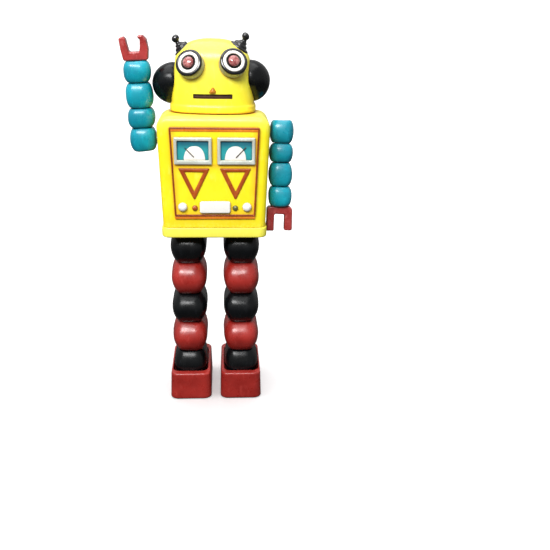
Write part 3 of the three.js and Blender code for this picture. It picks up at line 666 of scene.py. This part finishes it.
def torso_piece(name, node, keep_front):
    """The torso's front or back, cut at the seam and given its wall."""
    verts, faces = stitch(torso_rings(), caps=OPEN)
    obj = piece(name, "torso", "yellow_tin", torso_yellow, verts, faces, stands_for=[node])
    bm = bmesh.new()
    bm.from_mesh(obj.data)
    seam = PART @ Vector((0, SEAM + (-SEAM_HALF if keep_front else SEAM_HALF), 0))
    geometry = bm.verts[:] + bm.edges[:] + bm.faces[:]
    cleared = {"clear_outer": keep_front, "clear_inner": not keep_front}
    bmesh.ops.bisect_plane(bm, geom=geometry, dist=1e-7, plane_co=seam, plane_no=(0, 1, 0), **cleared)
    bm.to_mesh(obj.data)
    bm.free()
    wall = obj.modifiers.new("wall", "SOLIDIFY")
    wall.thickness = TIN * MM
    wall.offset = -1
    baked(obj)
    dress(obj, 50)
    return obj


casing = torso_piece("torso_casing", "torso_shell", True)
cover = torso_piece("rear_cover", "back_cover", False)
KEY_Z = 198
key_bore = moved(turned([(3.0, 0), (3.0, 30)], 40), shift(0, 4, KEY_Z) @ spin("X", -90))
carve(cover, (*key_bore, PART))
for shell in (casing, cover):
    weigh(shell)


def skirt():
    """A shallow tray with a slightly bulging rim."""
    half, front, back, radius = 41.5, -33.7, 14.7, 6.5
    low, high = 145.4, 153.8
    under, over = 1.5, 1.2

    def ring(inset, z):
        return rounded_ring(inset - half, half - inset, front + inset, back - inset, max(radius - inset, 1), z)

    rings = [ring(5.8, low), ring(3, low)]
    rings += [ring(under * (1 - sin(a)), low + under * (1 - cos(a))) for a in quarter(5)]
    rise = high - low - under - over
    rings += [ring(-0.12 * sin(pi * t), low + under + rise * t) for t in (0.25, 0.5, 0.75)]
    rings += [ring(over * (1 - cos(a)), high - over + over * sin(a)) for a in quarter(5)]
    rings += [ring(2.2, high), ring(2.4, high - 1), ring(2.4, low + 1.3), ring(5, low + 1.2)]
    return stitch(rings)


pan = piece("skirt_pan", "torso", "yellow_tin", torso_yellow, *skirt(), stands_for=["base_pan"], sharp=50)
LEG_X = 21.8
slots = []
for _, sign in SIDES:
    rings = [[(x + sign * LEG_X, y, z) for x, y in box_outline(-3.4, -6, 3.4, 6, 1.2)] for z in (142, 149)]
    slots.append((*stitch(rings), PART))
carve(pan, *slots)
weigh(pan)

lug = plate(round_off([(-3.6, 146), (3.6, 146), (3.6, 160, 3), (-3.6, 160, 3)], 0.3), -0.6, 0.6, 0.2, both=True)
lugs = [moved(lug, shift(sign * x, 0, 0) @ spin("Z", 90)) for _, sign in SIDES for x in (16, 27.6)]
piece("axle_lugs", "torso", "yellow_tin", torso_yellow, *merge(*lugs), sharp=50)

# ---- Chest ----

FACE = -33.0
CHEST_RISE, CHEST_HALF_ABOVE = 68, 34.3


def chest_outline(inset, low=163.6, high=232.4):
    def half(z):
        return CHEST_HALF + (CHEST_HALF_ABOVE - CHEST_HALF) * (z - CHEST_Z) / CHEST_RISE - inset

    low, high = low + inset, high - inset
    below, above = half(low), half(high)
    return [(CHEST_X - below, low), (CHEST_X + below, low), (CHEST_X + above, high), (CHEST_X - above, high)]


def on_torso(name, slot, paint, verts, faces, **extra):
    return piece(name, "torso", slot, paint, verts, faces, **extra)


sheet = plate(round_off(chest_outline(0.3), 0.8), FACE - 1, FACE, 0.3)
on_torso("chest_sheet", "printed_panel", panel_yellow, *sheet, stands_for=["chest_panel"], sharp=50, weighted=True)
border_outlines = round_off(chest_outline(0), 0.9), round_off(chest_outline(1.25), 0.5)
border = frame_ring(*border_outlines, FACE - 1.7, FACE, 0.45)
on_torso("chest_border", "printed_panel", border_brown, *border, wave=(0.12, 9, 1))


def band(low, high, front):
    (left, _), (right, _) = chest_outline(0, low, high)[:2]
    return plate(box_outline(left, low, right, high, 0.5), front, FACE, 0.35)


upper_band = band(229.3, 231.5, FACE - 1.35)
lower_band = band(161.1, 163.5, FACE - 0.9)
on_torso("chest_bands", "printed_panel", orange, *merge(upper_band, lower_band), wave=(0.1, 9, 2))


def triangle(sign):
    x = CHEST_X + sign * 15.9
    outer = round_off([(x, 176.2, 1.2), (x + 12.1, 201.4), (x - 12.1, 201.4)], 0.5)
    inner = round_off([(x, 183.2, 0.3), (x + 7.4, 198.7), (x - 7.4, 198.7)], 0.4)
    return frame_ring(outer, inner, FACE - 2, FACE - 0.5, 0.7)


triangles = merge(triangle(-1), triangle(1))
on_torso("chest_triangles", "printed_panel", brick, *triangles, wave=(0.22, 7, 3))


def dial_arch(x, low, high, half):
    points = []
    steps = 28
    for i in range(steps + 1):
        a = pi * i / steps
        c, s = cos(a), sin(a)
        points.append((x + copysign(abs(c) ** 0.86, c) * half, low + (high - low) * s**0.92))
    return points


# Each needle's tip and foot.
NEEDLES = {"left": ((24.6, 218.0), (16.9, 209.9)), "right": ((-22.0, 217.4), (-15.0, 210.2))}
for side, sign in SIDES:
    x = CHEST_X + sign * 16.5
    outer = box_outline(x - 14.4, 204.6, x + 14.4, 225.2, 0.9)
    inner = box_outline(x - 11.9, 208.0, x + 11.9, 222.5, 0.7)
    rim = frame_ring(outer, inner, FACE - 3.5, FACE - 1, 1.0, inner_bevel=0.8, steps=5)
    name = f"meter_frame_{side}"
    on_torso(name, "meter_frame", silver, *rim, stands_for=[f"meter_{side}"], wave=(0.15, 6, 4))
    ground = plate(box_outline(x - 12.3, 207.6, x + 12.3, 222.9, 0.5), FACE - 1.8, FACE - 1, 0.1)
    on_torso(f"meter_face_{side}", "meter_frame", dial_ground, *ground, wave=(0.05, 5, 5))
    arch = plate(dial_arch(x + 0.3 - 0.9 * sign, 208.0, 218.6, 8.1), FACE - 2.3, FACE - 1.7, 0.25)
    on_torso(f"meter_dial_{side}", "white_plastic", white, *arch, wave=(0.12, 4, 6))
    tip, foot = map(Vector, NEEDLES[side])
    along = tip - foot
    across = Vector((-along.y, along.x)).normalized()
    corners = [foot - across * 0.38, tip - across * 0.28, tip + across * 0.28, foot + across * 0.38]
    bar = plate(round_off([tuple(c) for c in corners], 0.3, 3), FACE - 2.65, FACE - 2.2, 0.12)
    on_torso(f"meter_needle_{side}", "meter_frame", needle_dark, *bar)


def on_chest(name, node, slot, paint, profile, count, x, z, wave):
    """A small turned piece that stands on the chest, facing forwards."""
    form = moved(turned(spline(profile, 5), count), shift(x, FACE - 1.0, z) @ spin("X", 90))
    on_torso(name, slot, paint, *form, stands_for=[node], wave=wave)


KNOB = [(0.1, -0.5), (3.3, -0.5), (3.5, 0.5), (3.25, 1.6), (2.4, 2.7), (1.2, 3.25), (0.02, 3.4)]
STUD = [(0.05, -0.4), (2.1, -0.4), (2.15, 0.4), (1.7, 1.2), (0.8, 1.7), (0.02, 1.8)]
for side, sign in SIDES:
    x = CHEST_X - 0.1 + sign * 25.0
    name = f"chest_knob_{side}"
    on_chest(name, f"knob_{side}", "white_plastic", white, KNOB, 40, x, 170.9, (0.1, 4, 7))
on_chest("lamp_red_stud", "lamp_red", "lamp_orange", lamp_orange, STUD, 32, -15.0, 170.0, (0.1, 2.5, 8))
on_chest("lamp_green_stud", "lamp_green", "lamp_olive", lamp_olive, STUD, 32, 16.5, 170.0, (0.1, 2.5, 8))
bar_outline = box_outline(CHEST_X - 11.9, 166.3, CHEST_X + 11.9, 175.6, 1.9, 7)
bar = plate(bar_outline, FACE - 3.2, FACE - 0.8, 1.0, steps=6)
on_torso("chest_bar_cap", "white_plastic", white, *bar, stands_for=["chest_bar"], wave=(0.12, 8, 9))

# ---- Head ----

HEAD_HALF_X, HEAD_HALF_Y, HEAD_Y = 33.4, 24.0, -0.8
HEAD_POWER, HEAD_COUNT = 2.7, 128
# The head's size at each height, as a share: its rolled lip, then its face, then where the dome starts.
LIP = [(0.955, 241.3), (0.99, 241.35), (1.002, 242.2), (1.004, 244.2), (0.998, 246.0), (0.982, 246.9)]
FACE_WALL = [(0.969, 247.6), (0.962, 250.5), (0.944, 256), (0.926, 262), (0.901, 269.5)]
DOME_SHARE, DOME_Z, DOME_RISE = 0.868, 276.8, 18.4


def head_profile():
    dome = [(DOME_SHARE, DOME_Z)]
    for degrees in (12, 24, 36, 48, 60, 70, 78, 84, 88):
        a = radians(degrees)
        dome.append((DOME_SHARE * cos(a) ** 0.82, DOME_Z + DOME_RISE * sin(a) ** 0.95))
    return spline(LIP + FACE_WALL + dome, 4)


def head_share(z):
    """The head's size at a height, for what is set into its face."""
    for (s0, z0), (s1, z1) in zip(FACE_WALL, FACE_WALL[1:]):
        if z <= z1:
            return s0 + (s1 - s0) * (z - z0) / (z1 - z0)
    return FACE_WALL[-1][0]


def head_front(x, z):
    """The Y of the head's face at a point."""
    share = head_share(z)
    side = min(abs(x) / (HEAD_HALF_X * share), 1)
    return HEAD_Y - HEAD_HALF_Y * share * (1 - side**HEAD_POWER) ** (1 / HEAD_POWER)


def head_piece(name, slot, paint, verts, faces, **extra):
    return piece(name, "head", slot, paint, verts, faces, place=HEAD, **extra)


rings = [oval(NECK_RADIUS, NECK_RADIUS, 2, 241.6, HEAD_COUNT, (0, NECK_Y))]
for share, z in head_profile():
    rings.append(oval(HEAD_HALF_X * share, HEAD_HALF_Y * share, HEAD_POWER, z, HEAD_COUNT, (0, HEAD_Y)))
rings.append(oval(0.4, 0.4, 2, 295.24, HEAD_COUNT, (0, HEAD_Y)))
verts, faces = stitch(rings, caps=(False, True))
dome = head_piece("head_dome", "yellow_tin", head_yellow, verts, faces, stands_for=["head_shell"], sharp=60)
MOUTH_X = 1.6
opening = [(-14.9, 252.2), (0, 252.3, 0), (14.9, 252.4), (14.9, 255.9), (0, 255.8, 0), (-14.9, 255.7)]
slot_rings = []
for depth in (-6.0, 1.6):
    outline = [(MOUTH_X + x, z) for x, z in round_off(opening, 0.5)]
    slot_rings.append([(x, head_front(x, z) + depth, z) for x, z in outline])
carve(dome, (*stitch(slot_rings), HEAD))


def mouth():
    """A dark strip that follows the face, with two fine ridges along it."""
    rings = []
    steps = 36
    section = [(251.8, 3.2), (252.2, 1.3), (253.0, 1.25), (253.3, 0.75), (253.7, 1.2), (254.3, 1.25)]
    section += [(254.6, 0.8), (255.0, 1.25), (255.9, 1.3), (256.4, 3.2)]
    for i in range(steps + 1):
        x = MOUTH_X - 15.6 + 31.2 * i / steps
        rings.append([(x, head_front(x, z) + depth, z + 0.007 * x) for z, depth in section])
    return stitch(rings)


head_piece("mouth_strip", "black_gloss", mouth_brown, *mouth(), stands_for=["mouth"], wave=(0.12, 3, 10))


def nose():
    """A small soft wedge: wide and low at its foot, rising to a blunt point."""
    base = round_off([(-3.5, 256.2), (3.5, 256.4), (0.3, 261.6)], 1.1, 4)
    rings = []
    for share, rise in ((1.0, -1.6), (1.0, 0.0), (0.9, 0.7), (0.68, 1.35), (0.4, 1.85), (0.15, 2.05)):
        ring = []
        for x, z in base:
            px, pz = MOUTH_X + x * share, 257.6 + (z - 257.6) * share
            ring.append((px, head_front(px, 258) - rise, pz))
        rings.append(ring)
    return stitch(rings)


head_piece("nose_bump", "yellow_tin", ochre, *nose(), sharp=60, wave=(0.15, 2.5, 11))


def pod(sign):
    """An ear: an oval dome that narrows downwards."""
    profile = [(0.86, 0), (0.93, 2.5), (1.0, 6), (0.985, 9.5), (0.925, 13), (0.8, 16.6)]
    profile += [(0.62, 19.6), (0.4, 21.8), (0.18, 22.9), (0.02, 23.2)]
    reach = 0.91 if sign > 0 else 1.0
    rings = []
    for share, out in spline(profile, 4):
        ring = []
        for a, b, _ in oval(16, 15.8, 2.3, 0, 72):
            a, b = a * share, b * share
            a *= 1 - 0.34 * max(0.0, -b / 15.8)
            ring.append((sign * (24 + out * reach) - 0.3, 3 + sign * a, 262.4 + b))
        rings.append(ring)
    return moved(stitch(rings), TILTED)


# From its foot up: a stepped cone, a stalk, and a ball.
HORN = [(0.2, -6), (6.8, -6), (7.3, 2.2), (7.6, 3.6), (7.6, 4.5), (7.1, 5.2), (5.8, 5.6), (5.3, 6.0), (5.3, 6.7)]
HORN += [(4.6, 7.6), (3.5, 8.2), (3.1, 8.7), (3.1, 9.2), (2.5, 9.7), (1.95, 10.2), (1.8, 10.9), (2.0, 11.7)]
HORN += [(2.7, 12.4), (3.0, 13.6), (2.8, 14.8), (1.9, 15.9), (0.8, 16.35), (0.03, 16.4)]


def horn(sign):
    """An antenna, whose short stalk is a little out of true."""
    verts, faces = turned(spline(HORN, 3), 48)
    bent = []
    for x, y, z in verts:
        past = max(0.0, z - 8.0)
        bent.append((x + sign * 0.7 * sin(min(past / 4, 1) * pi) - sign * 0.05 * past, y, z))
    return moved((bent, faces), TILTED @ (shift(sign * 18.9 + 0.8, -4.5, 284.6) @ spin("Y", sign * 36)))


def eye_seat(sign):
    """Where an eye sits, looking forwards, up and a little outwards."""
    axis = Vector((sign * 0.25, -0.86, 0.42)).normalized()
    turn = Vector((0, 0, 1)).rotation_difference(axis).to_matrix().to_4x4()
    return TILTED @ shift(sign * 15.9 + 2, -21.4, 277.8) @ turn


CAN = [(9.9, -4), (9.95, -2), (9.95, 1.9), (10.25, 2.3), (10.42, 2.9), (10.3, 3.6), (9.9, 4.1)]
CAN += [(9.2, 4.5), (8.4, 4.6), (8.1, 4.3), (7.9, 3.9), (0.1, 3.8)]
CAN_BAND = [(9.9, -3.6), (10.2, -3.2), (10.36, -2.0), (10.28, -0.8), (10.34, 0.6), (10.28, 1.7), (10.0, 2.2)]
RING = [(8.1, 3.6), (8.08, 4.2), (7.8, 4.55), (6.9, 4.75), (6.1, 4.6), (5.75, 4.2), (5.7, 3.6)]
CORE = [(5.75, 3.5), (5.7, 4.1), (5.4, 4.4), (4.8, 4.35), (4.35, 4.0), (4.3, 3.5)]
PEARL = [(4.32, 3.4), (4.3, 4.4), (4.1, 5.2), (3.5, 6.0), (2.6, 6.55), (1.5, 6.85), (0.6, 6.95), (0.03, 6.97)]
# Name, paint, slot, profile, and the CAD node it stands for. The parts with no node are open rings.
EYE_PARTS = (
    ("eye_can", black_shine, "black_gloss", CAN, "eye_bezel"),
    ("eye_band", can_silver, "meter_frame", CAN_BAND, None),
    ("eye_ring", white, "white_plastic", RING, None),
    ("eye_core", black, "black_gloss", CORE, None),
    ("eye_pearl", lens_pink, "pink_lens", PEARL, "eye_lens"),
)

for side, sign in SIDES:
    for name, node, paint, form, wave in (
        ("ear_pod", "ear", black, pod(sign), (0.3, 14, 12 + sign)),
        ("antenna_horn", "antenna", black_shine, horn(sign), (0.28, 3.5, 15 + sign)),
    ):
        stands_for = [f"{node}_{side}"]
        head_piece(f"{name}_{side}", "black_gloss", paint, *form, stands_for=stands_for, sharp=60, wave=wave)
    for name, paint, slot, profile, node in EYE_PARTS:
        if node:
            part, stands_for = turned(spline(profile, 3), 64), [f"{node}_{side}"]
        else:
            inside = (profile[0][0] - 0.3, profile[0][1])
            part, stands_for = turned(spline(profile, 3) + [inside], 64, OPEN), ()
        wave = (0.12, 5, 18 + sign)
        part = moved(part, eye_seat(sign))
        head_piece(f"{name}_{side}", slot, paint, *part, stands_for=stands_for, wave=wave)

# ---- Arms ----

ARM_BEADS = (18.4, 15.3, 19.2, 16.4)
ARM_HALF_Y = 10.75
GAP = 0.3


def bead(height, half_x, half_y, plan_power, neck, belly, corner, count=80):
    """A bead from z = 0 up. Neck is its share of width at both ends, and higher powers fill out its belly."""
    rings = []
    steps = 28
    for i in range(steps + 1):
        level = -cos(pi * i / steps)
        share = neck + (1 - neck) * (1 - abs(level) ** belly) ** (1 / corner)
        rings.append(oval(half_x * share, half_y * share, plan_power, height * (1 + level) / 2, count))
    return stitch(rings)


# Claw outlines: corners (x, z, radius) with the base's joint to the arm at z = 0.
# The lowered one is a U that opens downwards.
LEFT_CLAW = [(-10.5, -20.1, 1.0), (-4.4, -20.1, 0.8), (-4.2, -6.3, 1.6), (4.3, -6.5, 1.6), (4.0, -19.8, 1.2)]
LEFT_CLAW += [(10.6, -19.6, 1.8), (10.4, 0, 3.4), (-10.4, 0, 3.0)]
# The raised one has its prongs up: the outer prong leans out, and the inner one hooks inwards.
RIGHT_CLAW = [(-9.4, 0, 1.8), (9.2, 0, 1.6), (10, 8, 9), (9.2, 15.2, 2.6), (6.4, 18.3, 1.6), (2.6, 18.3, 0.7)]
RIGHT_CLAW += [(2.8, 16.7, 0.5), (4.3, 15.3, 0.8), (4.1, 10.6, 2), (3.4, 6.4, 1.8), (-4.7, 6.4, 1.8)]
RIGHT_CLAW += [(-5.6, 11, 3), (-6.7, 16.2, 1.4), (-8.4, 17.8, 1.4), (-11.6, 16.8, 2), (-10.9, 8.5, 8)]

# Side, sign, the shoulder's x and z, degrees turned up from hanging, width, claw, and the claw's own up.
ARMS = (
    ("left", 1, 54.2, 224.4, 8, 19.2, LEFT_CLAW, 1),
    ("right", -1, 56.0, 217.7, 180, 21.2, RIGHT_CLAW, -1),
)
for side, sign, x, z, turn, width, corners, up in ARMS:
    body = f"{side}_arm"
    place = arm_frame(sign, x, z, turn)
    top = ARM_BEADS[0] / 2
    for index, height in enumerate(ARM_BEADS):
        top -= height
        form = moved(bead(height - GAP, width / 2, ARM_HALF_Y, 2.9, 0.68, 2.2, 1.75), shift(0, 0, top))
        name, node = f"arm_{side}_bead_{index + 1}", f"{side}_arm_bead_{index + 1}"
        wave = (0.35, 11, 30 + index + 5 * sign)
        piece(name, body, "teal_gloss", teal, *form, place=place, stands_for=[node], sharp=60, wave=wave)
    verts, faces = plate(lambda inset: contour(corners, inset), -5, 5, 1.1, both=True)
    verts = [(x, y, top - GAP + up * z) for x, y, z in verts]
    looks = {"place": place, "sharp": 50, "wave": (0.3, 5, 25), "weighted": True}
    piece(f"claw_{side}", body, "brick_red", claw_red, verts, faces, stands_for=[f"{side}_claw"], **looks)

# ---- Legs ----

LEG_HALF_X, LEG_HALF_Y = 14.9, 25.2
LEVELS = (144.9, 118.6, 91.3, 65.6, 38.9, 11.9)
LAST = len(LEVELS) - 2  # the lowest bead, which stands in the boot
LAST_SIZE = 0.95
BOOT_X, BOOT_HEIGHT = 21.3, 23.8
BOOT_FLOOR = BOOT_HEIGHT - 6.0
LEG_SWING = radians(5.6)


def leg_bead(index, sign):
    """A bead between two levels. The highest one slopes away from its middle, so the leg can swing."""
    top, bottom = LEVELS[index], LEVELS[index + 1] + GAP
    size, waist = (LAST_SIZE, 0.78) if index == LAST else (1.0, 0.69)
    verts, faces = bead(top - bottom, LEG_HALF_X * size, LEG_HALF_Y * size, 3.8, waist, 1.9, 1.15, 96)
    shaped = []
    for x, y, z in verts:
        z += bottom
        if index == 0:
            z = min(z, LEVELS[0] - abs(y) * tan(LEG_SWING))
        shaped.append((x + sign * LEG_X, y, max(z, BOOT_FLOOR + GAP) if index == LAST else z))
    return shaped, faces


def boot():
    """A block with rounded corners, whose recess hugs the lowest bead."""
    half_x, half_y, height = 17.5, 31.6, BOOT_HEIGHT

    def ring(inset, z):
        x, y = half_x - inset, half_y - inset
        return rounded_ring(-x, x, -y, y, max(6.5 - 0.6 * inset, 1.5), z, 9, 8)

    def well(grow, z):
        x, y = LEG_HALF_X * LAST_SIZE + grow, LEG_HALF_Y * LAST_SIZE + grow
        return rounded_ring(0.5 - x, 0.5 + x, -y, y, 5.5, z, 9, 8)

    rings = [ring(8, 0), ring(3, 0), ring(1.4, 0.0)]
    rings += [ring(1.3 * (1 - sin(a)), 1.3 * (1 - cos(a))) for a in quarter(4)]
    rings += [ring(0.7 * t, 1.3 + (height - 3.4) * t) for t in (0.2, 0.4, 0.6, 0.8, 1.0)]
    rings += [ring(0.7 + 1.2 * (1 - cos(a)), height - 2.1 + 2.0 * sin(a)) for a in quarter(5)[1:]]
    rings += [well(grow, height - depth) for grow, depth in ((0.75, 0.25), (0.55, 0.6), (0.45, 1.4))]
    rings += [well(0.4, BOOT_FLOOR + 0.5), well(-0.5, BOOT_FLOOR), well(-6, BOOT_FLOOR)]
    return stitch(rings)


for side, sign in SIDES:
    body = f"{side}_leg"
    for index in range(LAST + 1):
        paint, slot = (red, "brick_red") if index % 2 else (black, "black_gloss")
        name, node = f"leg_{side}_bead_{index + 1}", f"{side}_leg_bead_{index + 1}"
        wave = (0.2 if index in (0, LAST) else 0.4, 13, 40 + index + 6 * sign)
        piece(name, body, slot, paint, *leg_bead(index, sign), stands_for=[node], sharp=60, wave=wave)
    mirror = Matrix.Scale(sign, 4, (1, 0, 0))
    shoe = moved(moved(boot(), mirror), shift(sign * BOOT_X, 0, 0))
    piece(f"boot_{side}", body, "brick_red", red, *shoe, stands_for=[f"{side}_boot"], sharp=50, weighted=True)

# ---- Winding key ----

KEY_SEAT = shift(0, 0, KEY_Z) @ spin("X", -90)


def winding_key():
    """The key's flat wings. Its stem and the holes in the wings come after."""
    half = [(2.6, 21.2), (5.2, 19.6), (9.5, 18.9), (13.6, 20.6), (16.2, 24.2), (16.5, 28.2), (14.6, 32.2)]
    half += [(11.0, 34.6), (6.8, 35.1), (3.0, 33.6)]
    outline = half + [(0, 31.9)] + [(-x, y) for x, y in reversed(half)]
    outline = spline(outline + [outline[0]], 3)[:-1]
    slab = plate(outline, -0.9, 0.9, 0.35, both=True)
    return moved(slab, KEY_SEAT @ Matrix.Scale(-1, 4, (0, 1, 0)))


key = piece("key_wings", "winding_arbor", "steel", steel, *winding_key(), stands_for=["winding_key"], sharp=50)
holes = []
for _, sign in SIDES:
    ring = [(sign * 9.8 + 3.4 * cos(a), 27.6 + 4 * sin(a)) for a in (2 * pi * i / 40 for i in range(40))]
    holes.append((*stitch([[(x, y, z) for x, y in ring] for z in (KEY_Z - 3, KEY_Z + 3)]), PART))
carve(key, *holes)
weigh(key)
STEM = [(2.3, 14.6), (3.2, 14.6), (3.4, 14.9), (3.4, 20.0), (3.2, 20.6), (3.4, 21.2), (3.4, 25.4), (3.0, 26.1)]
stem = moved(turned(STEM + [(0.1, 26.3)], 40, (False, True)), KEY_SEAT)
piece("key_stem", "winding_arbor", "steel", steel, *stem, sharp=40)

# ---- CAD pieces that stay ----

BRASS_NODES = ("motor_front_plate", "motor_back_plate", "great_wheel")
for name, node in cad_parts.items():
    node.data.materials.clear()
    node.data.materials.append(brass if name in BRASS_NODES else steel)

# ---- Stage ----


def floor_paint():
    paint = Paint("pale_floor")
    base = paint.mix(paint.remap(paint.noise(160, 2), 0.3, 0.7), (0.94, 0.94, 0.945), (0.96, 0.96, 0.96))
    paint.bump((paint.noise(30, 2), 0.05))
    paint.shader.inputs["Emission Color"].default_value = (1, 1, 1, 1)
    return paint.finish(base, paint.remap(paint.noise(90, 2), 0.3, 0.7, 0.42, 0.55), Emission_Strength=0.3)


# A seamless white bowl, in metres: flat under the robot, then curving up into a wall all round.
FLAT, CURVE, WALL_TOP = 1.6, 0.8, 3.5
sweep = [(0.0001, 0), (0.2, 0), (0.5, 0), (0.9, 0), (FLAT, 0)]
sweep += [(FLAT + CURVE * sin(a), CURVE * (1 - cos(a))) for a in quarter(16)[1:]]
sweep.append((FLAT + CURVE, WALL_TOP))
verts, faces = turned(sweep, 96, caps=OPEN)
floor_mesh = bpy.data.meshes.new("floor")
floor_mesh.from_pydata(verts, [], faces)
floor_mesh.materials.append(floor_paint())
for face in floor_mesh.polygons:
    face.use_smooth = True
floor = bpy.data.objects.new("floor", floor_mesh)
scene.collection.objects.link(floor)
# The floor casts no white light up onto the undersides, as in the photo.
floor.visible_diffuse = False
floor.visible_glossy = False


def studio_world():
    """White light from above that fades to grey below the horizon."""
    world = bpy.data.worlds.new("studio")
    world.use_nodes = True
    nodes, links = world.node_tree.nodes, world.node_tree.links
    split = nodes.new("ShaderNodeSeparateXYZ")
    fade = nodes.new("ShaderNodeMapRange")
    set_range(fade, -0.3, 0.3, 0.1, 0.5)
    links.new(nodes.new("ShaderNodeTexCoord").outputs["Generated"], split.inputs[0])
    links.new(split.outputs["Z"], fade.inputs["Value"])
    links.new(fade.outputs["Result"], nodes["Background"].inputs["Strength"])
    nodes["Background"].inputs["Color"].default_value = (1.0, 1.0, 1.0, 1)
    return world


scene.world = studio_world()


def area_light(name, place, target, size, power):
    """A rectangular lamp that faces a point, in metres and watts."""
    data = bpy.data.lights.new(name, "AREA")
    data.shape = "RECTANGLE"
    data.size, data.size_y = size
    data.energy = power
    obj = bpy.data.objects.new(name, data)
    obj.location = place
    obj.rotation_euler = (Vector(target) - Vector(place)).to_track_quat("-Z", "Y").to_euler()
    scene.collection.objects.link(obj)
    return obj


MIDDLE = (0, 0, 0.17)  # of the robot, which the lamps in front and behind face
front = area_light("key", (-0.32, -0.86, 0.95), MIDDLE, (0.8, 0.3), 17.5)
area_light("top", (-0.1, 0.05, 1.5), (0, 0, 0.0), (1.6, 1.6), 19)
area_light("backdrop", (0, 0.6, 1.2), (0, 2.2, 0.5), (2.4, 0.4), 26)
rear = area_light("rear", (0.05, 1.1, 0.5), MIDDLE, (0.6, 0.5), 9)
rear.visible_glossy = False
# These two light the robot alone, so they throw no hard shadow on the floor.
unlit = bpy.data.collections.new("lit_from_above_only")
unlit.objects.link(floor)
unlit.collection_objects[0].light_linking.link_state = "EXCLUDE"
for lamp in (front, rear):
    lamp.light_linking.receiver_collection = unlit

# The camera stands where the photographer did.
YAW, PITCH, ROLL = (radians(degrees) for degrees in (-4.15, -20.09, 1.12))
CAMERA_PLACE = PART @ Vector((7.52, -600.07, 321.72))
SENSOR = 36
FOCAL_SHARE = 744.9 / 550  # the focal length as a share of the picture's width
camera_data = bpy.data.cameras.new("camera")
camera_data.sensor_width = SENSOR
camera_data.lens = SENSOR * FOCAL_SHARE
camera_data.clip_start = 0.01
camera_data.clip_end = 60
camera = bpy.data.objects.new("camera", camera_data)
forward = Vector((-sin(YAW) * cos(PITCH), cos(YAW) * cos(PITCH), sin(PITCH)))
level = Vector((cos(YAW), sin(YAW), 0))
above = level.cross(forward)
right = level * cos(ROLL) + above * sin(ROLL)
up = above * cos(ROLL) - level * sin(ROLL)
turn = Matrix((right, up, -forward)).transposed().to_4x4()
camera.matrix_world = Matrix.Translation(CAMERA_PLACE) @ turn
scene.collection.objects.link(camera)
scene.camera = camera
scene.view_settings.view_transform = "Standard"

# ---- Final update ----

bpy.context.view_layer.update()
